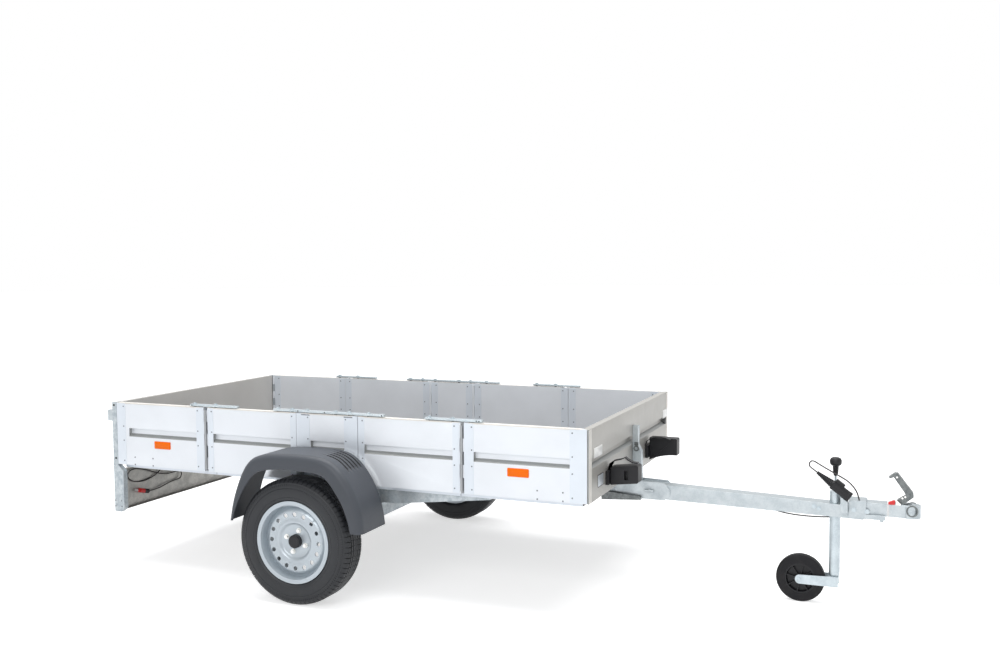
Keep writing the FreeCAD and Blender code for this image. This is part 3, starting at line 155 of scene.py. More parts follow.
# %% Group: zinc mottle
def make_zinc_group():
    """Flakes and cloudy patches of a zinc coat."""
    tree, start, end = new_tree("Shader", "ZincMottle", [
        ("Light", "Color", (0.7, 0.73, 0.76, 1)), ("Dark", "Color", (0.5, 0.53, 0.57, 1)),
        ("Flake Scale", "Float", 90.0), ("Cloud Scale", "Float", 9.0), ("Contrast", "Float", 0.6)],
        [("Color", "Color"), ("Roughness", "Float"), ("Height", "Float")])
    place = add(tree, "ShaderNodeTexCoord").outputs["Object"]
    flakes = add(tree, "ShaderNodeTexVoronoi", {"Vector": place, "Scale": start["Flake Scale"]}, feature="F1")
    clouds = add(tree, "ShaderNodeTexNoise", {"Vector": place, "Scale": start["Cloud Scale"], "Detail": 5.0,
                                              "Roughness": 0.6})
    grey = add(tree, "ShaderNodeSeparateColor", {"Color": flakes.outputs["Color"]}).outputs["Red"]
    patches = ramp(tree, clouds.outputs["Fac"], 0.35, 0.65)
    both = maths(tree, "ADD", maths(tree, "MULTIPLY", grey, 0.4), maths(tree, "MULTIPLY", patches, 0.6))
    colour = mix_colour(tree, maths(tree, "MULTIPLY", both, start["Contrast"]), start["Light"], start["Dark"])
    connect(tree, end, {"Color": colour, "Roughness": ramp(tree, both, 0, 1, 0.34, 0.52), "Height": both})
    return tree


ZINC = make_zinc_group()
print("group:", ZINC.name)

# %% [markdown]
# Rolled, brushed and moulded surfaces share a grain that is too fine to model. Noise on
# stretched coordinates draws it out along one axis. A second, slow noise gives blotches, without
# which a large board looks like paint on glass.

# %% Group: fine grain
def make_grain_group():
    """Fine noise that can be drawn out along one axis, as brushing or moulding grain."""
    tree, start, end = new_tree("Shader", "FineGrain", [
        ("Scale", "Float", 400.0), ("Stretch", "Vector", (1.0, 1.0, 1.0)), ("Low", "Float", 0.4),
        ("High", "Float", 0.5)], [("Height", "Float"), ("Roughness", "Float"), ("Blotch", "Float")])
    place = add(tree, "ShaderNodeTexCoord").outputs["Object"]
    drawn = add(tree, "ShaderNodeVectorMath", {0: place, 1: start["Stretch"]}, operation="MULTIPLY")
    grain = add(tree, "ShaderNodeTexNoise", {"Vector": drawn.outputs[0], "Scale": start["Scale"],
                                             "Detail": 3.0})
    blotch = add(tree, "ShaderNodeTexNoise", {"Vector": place, "Scale": 5.0, "Detail": 4.0})
    height = grain.outputs["Fac"]
    span = add(tree, "ShaderNodeMapRange", {"Value": height, "To Min": start["Low"], "To Max": start["High"]})
    connect(tree, end, {"Height": height, "Roughness": span.outputs["Result"],
                        "Blotch": blotch.outputs["Fac"]})
    return tree


GRAIN = make_grain_group()
print("group:", GRAIN.name)

# %% [markdown]
# Dust settles low down and never evenly. Height along Z makes a mask that fades upwards, and
# noise breaks it up. The coordinates are the object's own, so the dust stays where it is when a
# wheel turns or a board folds.

# %% Group: road dust
def make_dust_group():
    """A mask that is strong near the ground and broken up by noise."""
    tree, start, end = new_tree("Shader", "RoadDust", [("Top", "Float", 0.5), ("Amount", "Float", 0.2)],
                                [("Mask", "Float")])
    place = add(tree, "ShaderNodeTexCoord").outputs["Object"]
    height = add(tree, "ShaderNodeSeparateXYZ", {0: place}).outputs["Z"]
    fall = add(tree, "ShaderNodeMapRange", {"Value": height, "From Min": start["Top"], "From Max": 0.0,
                                            "To Min": 0.0, "To Max": 1.0}).outputs["Result"]
    noise = add(tree, "ShaderNodeTexNoise", {"Vector": place, "Scale": 14.0, "Detail": 6.0,
                                             "Roughness": 0.65})
    patches = ramp(tree, noise.outputs["Fac"], 0.35, 0.7)
    mask = maths(tree, "MULTIPLY", maths(tree, "MULTIPLY", fall, patches), start["Amount"])
    connect(tree, end, {"Mask": mask})
    return tree


DUST = make_dust_group()
DUST_COLOUR = (0.42, 0.38, 0.33, 1)
print("group:", DUST.name)

# %% [markdown]
# Two recipes cover most finishes. A metal takes its colour from the zinc group. A plain finish,
# such as paint, plastic, rubber or satin aluminium, is one colour with slow blotches, fine grain
# in its height and roughness, and a little dust low down.

# %% Material recipes
def base_material(name, metallic=0.0, specular=0.5, coat=0.0):
    """A material with its shader; plain numbers sit on the shader's own sockets."""
    material = bpy.data.materials.new(name)
    material.use_nodes = True
    tree = material.node_tree
    shader = tree.nodes["Principled BSDF"]
    connect(tree, shader, {"Metallic": metallic, "Specular IOR Level": specular, "Coat Weight": coat})
    return material, tree, shader


def finish_material(tree, shader, colour, surface, dust, strength, distance):
    """Dust on the colour; colour, roughness and relief into the shader; dust is (top, amount)."""
    if dust[1]:
        low = add(tree, "ShaderNodeGroup", {"Top": dust[0], "Amount": dust[1]}, node_tree=DUST)
        colour = mix_colour(tree, low.outputs["Mask"], colour, DUST_COLOUR)
    relief = add(tree, "ShaderNodeBump", {"Height": surface["Height"], "Strength": strength,
                                          "Distance": distance})
    connect(tree, shader, {"Base Color": colour, "Roughness": surface["Roughness"],
                           "Normal": relief.outputs["Normal"]})


def zinc_material(name, light, dark, flake, cloud, contrast, metallic=0.75, dust=0.1):
    """Zinc on steel, hot-dipped or plated."""
    material, tree, shader = base_material(name, metallic)
    zinc = add(tree, "ShaderNodeGroup", {"Light": (*light, 1), "Dark": (*dark, 1), "Flake Scale": flake,
                                         "Cloud Scale": cloud, "Contrast": contrast}, node_tree=ZINC).outputs
    finish_material(tree, shader, zinc["Color"], zinc, (0.5, dust), 0.12, 0.0005)
    return material


def plain_material(name, colour, rough=(0.4, 0.5), scale=400.0, stretch=(1, 1, 1), bumpy=0.1, depth=0.0003,
                   blotch=0.04, dust=0.0, metallic=0.0, specular=0.5, coat=0.0):
    """One colour with blotches, grain and dust."""
    material, tree, shader = base_material(name, metallic, specular, coat)
    grain = add(tree, "ShaderNodeGroup", {"Scale": scale, "Stretch": stretch, "Low": rough[0],
                                          "High": rough[1]}, node_tree=GRAIN).outputs
    darker = tuple(channel * (1 - blotch * 2.5) for channel in colour) + (1,)
    mixed = mix_colour(tree, ramp(tree, grain["Blotch"], 0.35, 0.7), (*colour, 1), darker)
    finish_material(tree, shader, mixed, grain, (0.62, dust), bumpy, depth)
    return material


# %% [markdown]
# Each finish on the trailer gets its own values: five coats of zinc, two of bolts and rivets,
# satin aluminium that is drawn out along its board, then plastics, rubbers and lenses. Colours
# are linear light, so a mid grey is about 0.2.

# %% Zinc finishes
GALVANISED = zinc_material("Galvanised", (0.5, 0.54, 0.56), (0.27, 0.32, 0.36), 150, 34, 0.75)
BEAM_ZINC = zinc_material("BeamZinc", (0.5, 0.54, 0.56), (0.35, 0.4, 0.43), 200, 22, 0.6)
BOARD_ZINC = zinc_material("BoardZinc", (0.5, 0.49, 0.46), (0.32, 0.32, 0.31), 150, 26, 0.7)
DARK_ZINC = zinc_material("DarkZinc", (0.2, 0.215, 0.215), (0.09, 0.1, 0.105), 200, 50, 0.8)
ZINC_PLATED = zinc_material("ZincPlated", (0.54, 0.6, 0.63), (0.38, 0.44, 0.48), 220, 16, 0.6, 0.8, 0.05)
BRIGHT_BOLT = zinc_material("BrightBolt", (0.8, 0.8, 0.78), (0.62, 0.62, 0.6), 300, 30, 0.5, 0.9, 0)
DARK_RIVET = zinc_material("DarkRivet", (0.2, 0.21, 0.23), (0.12, 0.13, 0.15), 300, 30, 0.5, 0.6, 0)

# %% Plain finishes
SATIN = {"bumpy": 0.06, "blotch": 0.02, "metallic": 0.35}
PANEL = plain_material("PanelAluminium", (0.76, 0.79, 0.83), (0.34, 0.46), 160, (0.15, 0.15, 3), **SATIN)
# The tailgate and the front board are one aluminium in two copies: the tailgate's lighter, as painted light,
# the front board's darker, as painted shade.
LIT_BOARD = plain_material("AluminiumBoardLit", (0.6, 0.585, 0.56), (0.36, 0.48), 160, (3, 0.15, 0.15), **SATIN)
SHADED_BOARD = plain_material("FrontBoard", (0.42, 0.41, 0.385), (0.36, 0.48), 160, (3, 0.15, 0.15), **SATIN)
COVER = plain_material("CoverPlate", (0.7, 0.75, 0.81), (0.32, 0.42), 200, (3, 3, 0.1), 0.05, blotch=0.02,
                       metallic=0.35)
# Painted shade: a darker grey for the groove faces of the boards, where shade falls inside the pressed
# groove.
GROOVE_SHADE = plain_material("GroovePaintedShade", (0.34, 0.35, 0.345), (0.4, 0.5), 160, (0.15, 3, 3), 0.06, blotch=0.02,
                        metallic=0.2)
KNUCKLE = plain_material("HingeKnuckle", (0.36, 0.37, 0.38), (0.35, 0.45), 300, (3, 3, 0.3), 0.06,
                         metallic=0.5)
TRIM = plain_material("EdgeTrim", (0.8, 0.77, 0.72), (0.45, 0.55), 200, (0.1, 3, 3), 0.05, metallic=0.1)
FLOOR_BOARD = plain_material("FloorBoard", (0.06, 0.05, 0.043), (0.45, 0.6), 900, bumpy=0.5, depth=0.0006,
                             blotch=0.1, dust=0.1)
GUARD_PLASTIC = plain_material("GuardPlastic", (0.07, 0.077, 0.09), (0.36, 0.44), 1500, bumpy=0.2,
                               blotch=0.03, dust=0.02, specular=0.28)
BLACK_PLASTIC = plain_material("BlackPlastic", (0.008, 0.008, 0.01), (0.38, 0.5), 1200, bumpy=0.2,
                               specular=0.35)
TYRE_RUBBER = plain_material("TyreRubber", (0.021, 0.023, 0.027), (0.4, 0.52), 700, bumpy=0.2, dust=0.02,
                             specular=0.36)
SOLID_RUBBER = plain_material("SolidRubber", (0.012, 0.012, 0.014), (0.55, 0.7), 700, bumpy=0.3, blotch=0.05,
                              dust=0.03, specular=0.2)
WHEEL_SILVER = plain_material("WheelSilver", (0.46, 0.51, 0.55), (0.28, 0.38), 900, bumpy=0.05, blotch=0.02,
                              dust=0.04, metallic=0.4)
ORANGE = plain_material("OrangeReflector", (0.98, 0.17, 0), (0.3, 0.4), 500, bumpy=0.3, depth=0.0004,
                        blotch=0.03, specular=0.15, coat=0.1)
WHITE_REFLECTOR = plain_material("WhiteReflector", (0.88, 0.88, 0.86), (0.3, 0.4), 500, bumpy=0.15,
                                 depth=0.0004, blotch=0.02, coat=0.3)
LABEL = plain_material("BlankLabel", (0.62, 0.66, 0.7), (0.3, 0.4), 300, bumpy=0.05, metallic=0.3)
RED_LENS = plain_material("RedLens", (0.5, 0.012, 0.01), (0.1, 0.18), 300, coat=0.8)
RED_PLASTIC = plain_material("RedPlastic", (0.72, 0.03, 0.03), (0.35, 0.45))
WHITE_PAINT = plain_material("WhiteBand", (0.82, 0.83, 0.83))
CABLE = plain_material("CableSheath", (0.03, 0.026, 0.026), scale=600)
print("materials:", len(bpy.data.materials))

# %% [markdown]
# Three black cables are seen: one from the coupling up and over to the parked plug, one slung
# below the drawbar, and a loop on the lamp board that ends in a red connector. A cable could be
# a tube of mesh, but a curve with a round bevel stays smooth however it bends, and its few
# control points can be moved by hand.

# %% Cables
CABLE_THICK = 0.006
PLUG_ROUTE = [
    (1.6275, -0.03, 0.456), (1.6225, -0.033, 0.488), (1.6085, -0.037, 0.521), (1.5805, -0.043, 0.553),
    (1.5425, -0.049, 0.575), (1.5025, -0.052, 0.597), (1.4645, -0.053, 0.618), (1.4379, -0.053, 0.6342),
    (1.4258, -0.053, 0.6312), (1.419, -0.053, 0.6207), (1.4212, -0.053, 0.6084), (1.4355, -0.053, 0.5978),
    (1.45247, -0.053, 0.58529)]
BEAM_ROUTE = [
    (1.5585, 0.033, 0.3845), (1.5225, 0.032, 0.378), (1.4775, 0.031, 0.373), (1.4275, 0.03, 0.3712),
    (1.3775, 0.03, 0.3714), (1.3275, 0.031, 0.3745), (1.2825, 0.032, 0.3815), (1.2475, 0.033, 0.389)]
REAR_ROUTE = [
    (-1.8255, -0.33, 0.471), (-1.8255, -0.333, 0.448), (-1.8275, -0.35, 0.42), (-1.829, -0.385, 0.4),
    (-1.8295, -0.43, 0.388), (-1.8295, -0.48, 0.383), (-1.8295, -0.53, 0.389), (-1.8285, -0.572, 0.404),
    (-1.8275, -0.596, 0.428), (-1.8265, -0.588, 0.451), (-1.8255, -0.558, 0.46), (-1.8245, -0.515, 0.455),
    (-1.8235, -0.47, 0.442), (-1.8215, -0.43, 0.427), (-1.819, -0.393, 0.411), (-1.819, -0.345, 0.396),
    (-1.8205, -0.3, 0.389), (-1.822, -0.255, 0.3885), (-1.823, -0.228, 0.3887), (-1.8235, -0.205, 0.388),
    (-1.824, -0.1926, 0.3756), (-1.8245, -0.1926, 0.358), (-1.8245, -0.205, 0.346), (-1.8245, -0.228, 0.3438),
    (-1.8245, -0.26, 0.343), (-1.8245, -0.305, 0.338), (-1.8245, -0.357, 0.328), (-1.8245, -0.407, 0.324),
    (-1.8242, -0.452, 0.326)]


def settle(obj, node, *replaced):
    """Let a piece ride with a node, and hide the nodes that it stands for."""
    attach(obj, BODY_OF[node])
    if replaced:
        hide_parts(*replaced)
    return obj


def lay_cable(node, route):
    """A round cable along smooth control points, in place of its solid."""
    data = bpy.data.curves.new(node + "_run", "CURVE")
    data.dimensions = "3D"
    spline = data.splines.new("NURBS")
    spline.points.add(len(route) - 1)
    for point, place in zip(spline.points, route):
        point.co = (*place, 1)
    spline.order_u, spline.use_endpoint_u, data.resolution_u = 3, True, 8
    data.bevel_depth, data.bevel_resolution, data.use_fill_caps = CABLE_THICK / 2, 3, True
    data.materials.append(CABLE)
    return settle(add_object(node + "_run", data), node, node)


plug_cable = lay_cable("cable_plug", PLUG_ROUTE)
beam_cable = lay_cable("cable_under", BEAM_ROUTE)
rear_cable = lay_cable("cable_rear", REAR_ROUTE)
print("control points:", len(PLUG_ROUTE), len(BEAM_ROUTE), len(REAR_ROUTE))

# %% [markdown]
# A solid from the construction model has knife-sharp edges, which real sheet metal and castings
# don't have. A copy of each solid is merged, its flat triangles are joined, and its long edges
# are rounded by a fraction of a millimetre, so that they catch the light. Painted bands and
# parts of another material are cut into the copy and given their own slot.

# %% Helpers for bmeshes
def sharp_edges(bm, degrees=28, shortest=0.0):
    """The edges where two faces meet sharply."""
    return [edge for edge in bm.edges if edge.calc_length() > shortest and len(edge.link_faces) == 2
            and edge.calc_face_angle(0.0) > math.radians(degrees)]


def bevel(bm, edges, width, segments=2, profile=0.5, **more):
    """Round some edges."""
    bmesh.ops.bevel(bm, geom=edges, offset=width, segments=segments, profile=profile, affect="EDGES", **more)


def round_edges(bm, width, segments=2):
    """Round every sharp edge."""
    bevel(bm, sharp_edges(bm), width, segments, 0.6)


def slice_across(bm, axis, at, **more):
    """Cut all faces where a coordinate has one value."""
    place, normal = Vector(), Vector()
    place[axis], normal[axis] = at, 1
    return bmesh.ops.bisect_plane(bm, geom=bm.verts[:] + bm.edges[:] + bm.faces[:], plane_co=place,
                                  plane_no=normal, **more)


def mesh_from(bm, name="part"):
    """The mesh of a bmesh, which is freed."""
    mesh = bpy.data.meshes.new(name)
    bm.to_mesh(mesh)
    bm.free()
    return mesh


def object_from(source, name, finish, smooth=25):
    """An object from a bmesh or a mesh, smooth apart from its sharp edges."""
    mesh = mesh_from(source, name) if isinstance(source, bmesh.types.BMesh) else source
    if not mesh.materials:
        mesh.materials.append(finish)
    mesh.shade_smooth()
    mesh.set_sharp_from_angle(angle=math.radians(smooth))
    return add_object(name, mesh)


def piece(source, name, finish, node, *replaced, smooth=25):
    """A finished piece that rides with a node."""
    return settle(object_from(source, name, finish, smooth), node, *replaced)


# %% Softened copies of the solids
LONG_EDGE = 0.012
GROOVE_LOW, GROOVE_HIGH = 0.649, 0.693


def soften(node, finish, width=0.0008, smooth=20, bands=(), groove=()):
    """A copy with rounded long edges; a band is (axis, low, high, finish), a groove (axis, low, high)."""
    bm = bmesh.new()
    bm.from_mesh(NODES[node].data)
    bmesh.ops.remove_doubles(bm, verts=bm.verts, dist=1e-5)
    bmesh.ops.dissolve_limit(bm, angle_limit=math.radians(0.5), verts=bm.verts, edges=bm.edges)
    sharp = sharp_edges(bm, shortest=LONG_EDGE)
    if width and sharp:
        bevel(bm, sharp, width, 2, 0.6, clamp_overlap=False)
    for face in bm.faces if groove else ():
        axis, low, high = groove
        centre = face.calc_center_median()
        if low < abs(centre[axis]) < high and GROOVE_LOW < centre.z < GROOVE_HIGH:
            # Faces in a groove that look up or along the board get a darker grey: painted shade that reads as
            # the groove's dark line.
            if face.normal.z > 0.3 or abs(face.normal[1 - axis]) > 0.9:
                face.material_index = len(bands) + 1
    for number, (axis, low, high, _) in enumerate(bands, 1):
        slice_across(bm, axis, low)
        slice_across(bm, axis, high)
        for face in bm.faces:
            if low < face.calc_center_median()[axis] < high:
                face.material_index = number
    obj = piece(bm, node + "_skin", finish, node, node, smooth=smooth)
    for extra in [band[3] for band in bands] + [GROOVE_SHADE] * bool(groove):
        obj.data.materials.append(extra)
    return obj


def soften_all(names, finish, width=0.0008, **more):
    """Softened copies of several nodes, named in one text."""
    for node in names.split():
        soften(node, finish, width, **more)
    print(finish.name + ":", names)


soften_all("side_rails outriggers cross_members middle_beam axle_beam swing_arm_right swing_arm_left "
           "mudguard_stays rear_posts", GALVANISED)
soften_all("jockey_tube jockey_fork tailgate_latches floor_hinge_front floor_hinge_rear", ZINC_PLATED, 0.0006)
soften_all("drawbar plug_bracket", BEAM_ZINC)
soften_all("lamp_board", BOARD_ZINC)

# %% [markdown]
# The five floor boards have a thin bright edge along each side. It is a band of faces with
# another material, so that it stays exactly on the surface.

# %% Floor boards
FLOOR_EDGE, FLOOR_SIDE = 0.6308, 0.6325
soften_all("floor_centre floor_front_inner floor_front_outer floor_rear_inner floor_rear_outer", FLOOR_BOARD,
           bands=[(1, -FLOOR_SIDE, -FLOOR_EDGE, COVER), (1, FLOOR_EDGE, FLOOR_SIDE, COVER)])

# %% [markdown]
# The front post's foot is hidden behind a sheet on the real trailer, so its copy is cut off just
# above the sheet's edge, and the open end is closed again. The chocks are mouldings with softer
# edges. The rims are round all over and are only smoothed.

# %% Front post, chocks and rims
POST_FOOT = 0.397


def cut_post():
    """The post's copy, cut off above its foot."""
    post = soften("front_post", BEAM_ZINC)
    bm = bmesh.new()
    bm.from_mesh(post.data)
    made = slice_across(bm, 2, POST_FOOT, clear_inner=True)["geom_cut"]
    bmesh.ops.holes_fill(bm, edges=[item for item in made if isinstance(item, bmesh.types.BMEdge)])
    bm.to_mesh(post.data)
    bm.free()
    print("front post faces:", len(post.data.polygons))


cut_post()
soften_all("wheel_chocks chock_holders", BLACK_PLASTIC, 0.0015)
soften_all("rim_right rim_left", WHEEL_SILVER, 0, smooth=35)

# %% [markdown]
# A side board has a long pressed groove that reads as a dark line, and a grey hinge knuckle at its
# fold. The front board has a groove too, and the tailgate is plain. The groove's dark line is
# painted shade: the groove faces that look up or along the board take a darker grey. Grooves and
# knuckles are faces of the copies with another material, like the edges of the floor.

# %% Boards of the box
BOX_MID, HALF_WIDTH, WALL_INNER = -0.606, 0.674, 0.646
FOLD_PIN, PIN_REACH = 0.666, 0.006
SIDE_GROOVE, FRONT_GROOVE = (1, 0.655, 0.6738), (0, 0.59, 0.6255)
WALL_NODES = [node for node in NODES if node.startswith("wall_")]
for node_name in WALL_NODES:
    pin = BOX_MID + (FOLD_PIN if "front" in node_name else -FOLD_PIN)
    hinge = [] if "centre" in node_name else [(0, pin - PIN_REACH, pin + PIN_REACH, KNUCKLE)]
    soften(node_name, PANEL, 0.0006, bands=hinge, groove=SIDE_GROOVE)
# The front board takes the darker copy, painted shade; the tailgate the lighter one, painted light.
soften("front_board", SHADED_BOARD, groove=FRONT_GROOVE)
soften("tailgate", LIT_BOARD)
print("side boards:", len(WALL_NODES))

# %% [markdown]
# The coupling's head has a white painted band, the crank a metal shaft, and the red connector a
# white and a black band. The head stands a little higher than its solid, and the lever above it
# is shortened from below to match.

# %% Coupling, crank and connector
def stretch_up(obj, level, new_level, factor):
    """Stretch a copy along Z about a level, which moves to a new one."""
    for vertex in obj.data.vertices:
        vertex.co.z = new_level + (vertex.co.z - level) * factor


HEAD_FOOT, NEW_HEAD_FOOT, LEVER_TOP = 0.385, 0.395, 0.595
head = soften("coupling_head", BEAM_ZINC, bands=[(0, 1.7355, 1.7445, WHITE_PAINT)])
stretch_up(head, HEAD_FOOT, NEW_HEAD_FOOT, 1.08)
stretch_up(soften("coupling_lever", DARK_ZINC), LEVER_TOP, LEVER_TOP, 0.9)
soften("jockey_crank", BLACK_PLASTIC, 0, smooth=35, bands=[(2, 0.49, 0.566, ZINC_PLATED)])
connector = soften("rear_connector", RED_PLASTIC, 0.0006, bands=[(1, -0.5463, -0.531, WHITE_PAINT),
                                                                 (1, -0.482, -0.448, BLACK_PLASTIC)])

# %% [markdown]
# Rivets, screws and bolts repeat by the dozen. Modelling each one by hand would be slow and
# uneven. Geometry Nodes put one small head on every point of a mesh, turned to face the way that
# the point's own attribute says, and one tree serves them all.

# %% Geometry tree: heads on points
MESH_SOCKET = ("Geometry", "Geometry")


def finish_tree(tree, start, end, points, instance, rotation):
    """Set a piece on each point, make it real and give it its material."""
    spread = add(tree, "GeometryNodeInstanceOnPoints", {"Points": points, "Instance": instance,
                                                        "Rotation": rotation})
    solid = add(tree, "GeometryNodeRealizeInstances", {0: spread.outputs[0]})
    dress = add(tree, "GeometryNodeSetMaterial", {"Geometry": solid.outputs[0],
                                                  "Material": start["Material"]})
    connect(tree, end, {0: dress.outputs[0]})
    return tree


def make_heads_tree():
    """Round or hexagonal heads on a washer, one on each point."""
    tree, start, end = new_tree("Geometry", "HeadsOnPoints", [
        MESH_SOCKET, ("Sides", "Int"), ("Head Radius", "Float"), ("Head Height", "Float"),
        ("Washer Radius", "Float"), ("Washer Height", "Float"), ("Seed", "Int"), ("Material", "Material")],
        [MESH_SOCKET])
    both = add(tree, "GeometryNodeJoinGeometry")
    for part, sides in (("Head", start["Sides"]), ("Washer", 16)):
        shape = add(tree, "GeometryNodeMeshCylinder", {
            "Vertices": sides, "Radius": start[part + " Radius"], "Depth": start[part + " Height"]})
        connect(tree, both, {0: shape.outputs["Mesh"]})
    facing = add(tree, "GeometryNodeInputNamedAttribute", {"Name": "facing"}, data_type="FLOAT_VECTOR")
    align = add(tree, "FunctionNodeAlignRotationToVector", {"Vector": facing.outputs["Attribute"]}, axis="Z")
    chance = add(tree, "FunctionNodeRandomValue", {3: math.pi / 3, "Seed": start["Seed"]}, data_type="FLOAT")
    spin = add(tree, "FunctionNodeAxisAngleToRotation", {"Axis": (0, 0, 1), "Angle": chance.outputs[1]})
    turned_heads = add(tree, "FunctionNodeRotateRotation", {0: align.outputs[0], 1: spin.outputs[0]},
                       rotation_space="LOCAL")
    return finish_tree(tree, start, end, start["Geometry"], both.outputs[0], turned_heads.outputs[0])


HEADS = make_heads_tree()


def grow(name, mesh, tree, values):
    """The plain mesh that a geometry tree makes from a starting mesh."""
    helper = add_object(name + "_seed", mesh)
    modifier = helper.modifiers.new("Grow", "NODES")
    modifier.node_group = tree
    for item in tree.interface.items_tree:
        if item.in_out == "INPUT" and item.name in values:
            modifier[item.identifier] = values[item.name]
    helper.update_tag()
    graph = bpy.context.evaluated_depsgraph_get()
    result = bpy.data.meshes.new_from_object(helper.evaluated_get(graph))
    bpy.data.objects.remove(helper)
    return result


def put_heads(name, node, spots, finish, radius, height, sides=6, washer=(0.0, 0.0)):
    """Heads on points; a spot is (place, facing), a washer (radius, height)."""
    mesh = bpy.data.meshes.new(name + "_points")
    mesh.from_pydata([place for place, _ in spots], [], [])
    facing = mesh.attributes.new("facing", "FLOAT_VECTOR", "POINT")
    for item, (_, way) in zip(facing.data, spots):
        item.vector = way
    result = grow(name, mesh, HEADS, {
        "Sides": sides, "Head Radius": radius, "Head Height": 2 * height, "Seed": 3, "Material": finish,
        "Washer Radius": washer[0] or radius, "Washer Height": 2 * washer[1] or height})
    return piece(result, name, finish, node)


# %% [markdown]
# Folded aluminium cover plates close both ends of every board, with a column of four rivets in
# each, and a pale trim runs along the top. They are thin boxes set on the boards' faces. All
# lengths count outwards from the middle of the box, because the walls are the same towards the
# front and the rear.

# %% Cover plates, rivets and top trim
WALL_LOW, WALL_HIGH = 0.509, 0.815
PLATE = 0.001
RIVET_HEIGHTS = (0.798, 0.7, 0.63, 0.53)


def add_block(bm, x, y, z):
    """A box from its low and high sides."""
    corners = [bm.verts.new((a, b, c)) for a in sorted(x) for b in sorted(y) for c in sorted(z)]
    for face in ((0, 1, 3, 2), (4, 6, 7, 5), (0, 4, 5, 1), (2, 3, 7, 6), (0, 2, 6, 4), (1, 5, 7, 3)):
        bm.faces.new([corners[index] for index in face])


def dress_wall(node, end, side, outside, inside, trim):
    """Plates, rivets and trim of one wall; side is -1 on the right, end -1 at the rear, 0 for both."""
    bm, top, spots = bmesh.new(), bmesh.new(), []
    for way in (end,) if end else (-1, 1):
        for face, out, plates in ((HALF_WIDTH, 1, outside), (WALL_INNER, -1, inside)):
            skin = side * (face + out * PLATE)
            for near, far, column in plates:
                add_block(bm, (BOX_MID + way * near, BOX_MID + way * far), (side * face, skin),
                          (WALL_LOW + 0.002, WALL_HIGH - 0.002))
                spots += [((BOX_MID + way * column, skin, height), (0, side * out, 0))
                          for height in RIVET_HEIGHTS]
    round_edges(bm, 0.0003, 1)
    piece(bm, node + "_plates", COVER, node)
    put_heads(node + "_rivets", node, spots, DARK_RIVET, 0.0032, 0.0011, 10)
    way = end or 1
    add_block(top, (BOX_MID + way * trim[0], BOX_MID + way * trim[1]),
              (side * (WALL_INNER + 0.0005), side * (HALF_WIDTH + 0.0008)),
              (WALL_HIGH - 0.004, WALL_HIGH + 0.0008))
    round_edges(top, 0.0004, 1)
    piece(top, node + "_trim", TRIM, node)


# Plates outside and inside, each as (near, far, rivet column), and the span of the trim.
CENTRE_DRESS = [(0.0905, 0.1585, 0.099)], [(0.0875, 0.1255, 0.098)], (-0.1335, 0.1335)
INNER_DRESS = ([(0.162, 0.193, 0.184), (0.6235, 0.655, 0.632)],
               [(0.1435, 0.1815, 0.171), (0.653, 0.6915, 0.664)], (0.1625, 0.655))
# The dark blocks made in this loop are painted shadow: thin strips on the centre walls' top edge beside the
# seams, where the locking bar's shadow falls in the gaps beneath it.
for side, side_name in SIDES:
    shade_block, centre_wall = bmesh.new(), "wall_centre_" + side_name
    for way in (-1, 1):
        add_block(shade_block, (BOX_MID + way * 0.09, BOX_MID + way * 0.1335),
                  (side * HALF_WIDTH, side * (HALF_WIDTH + 0.0012)), (0.8065, 0.8112))
    piece(shade_block, centre_wall + "_seam_shades", DARK_RIVET, centre_wall)
    dress_wall(centre_wall, 0, side, *CENTRE_DRESS)
    for end, end_name, corner in ((1, "front", 1.2235), (-1, "rear", 1.202)):
        dress_wall(f"wall_{end_name}_inner_{side_name}", end, side, *INNER_DRESS)
        dress_wall(f"wall_{end_name}_outer_{side_name}", end, side,
                   [(0.677, 0.7215, 0.713), (1.15, corner, 1.161)],
                   [(0.6965, 0.736, 0.725), (1.149, 1.1885, 1.16)], (0.696, 1.196))
print("cover plates, rivets and trims on ten walls")

# %% [markdown]
# The orange side reflectors, the white front ones and the blank label plate are small moulded
# pieces: a rounded base and a raised lens in it. Prisms inside the lens are too fine to see, so
# a bumpy clear-coated plastic stands for them.

# %% Reflectors and blank plate
FRONT_FACE = AXLE_X + 1.2835


def edges_along(bm, axis, length):
    """The edges that run further than a length along an axis."""
    return [edge for edge in bm.edges if abs((edge.verts[0].co - edge.verts[1].co)[axis]) > length]


def reflector(name, node, centre, half, facing, finish, base=None, thick=0.0038):
    """A rounded slab on a face; facing is (axis, sign) of the way it looks."""
    axis, sign = facing
    for label, inset, low, high, material in (("base", 0.0, 0.0, thick * 0.7, base or finish),
                                              ("lens", 0.0035, thick * 0.6, thick, finish)):
        spans = [(middle - reach + inset, middle + reach - inset) for middle, reach in zip(centre, half)]
        spans[axis] = (centre[axis] + sign * low, centre[axis] + sign * high)
        bm = bmesh.new()
        add_block(bm, *spans)
        bevel(bm, edges_along(bm, axis, (high - low) * 0.9), 0.004, 4)
        bevel(bm, sharp_edges(bm, 60), 0.0005)
        piece(bm, f"{name}_{label}", material, node, smooth=30)


for side, side_name in SIDES:
    for end_name, middle in (("front", 0.975), ("rear", -0.874)):
        reflector(f"side_reflector_{end_name}_{side_name}", f"wall_{end_name}_outer_{side_name}",
                  (AXLE_X + middle, side * HALF_WIDTH, 0.618), (0.048, 0, 0.018), (1, side), ORANGE)
for name, middle, half in (("right", -0.553, 0.056), ("left", 0.616, 0.052)):
    reflector("front_reflector_" + name, "front_board", (FRONT_FACE, middle, 0.708), (0, half, 0.021), (0, 1),
              WHITE_REFLECTOR)
reflector("blank_plate", "front_board", (FRONT_FACE, -0.517, 0.581), (0, 0.041, 0.027), (0, 1), LABEL,
          BLACK_PLASTIC, 0.0015)
print("reflectors: four at the sides, two in front")

# %% [markdown]
# A shape that is turned about the wheel's middle, such as a tyre, a hub or a roller, comes from
# an outline of points, each a distance along the axis and a radius. The outline is closed, so
# the shape has no open seam.

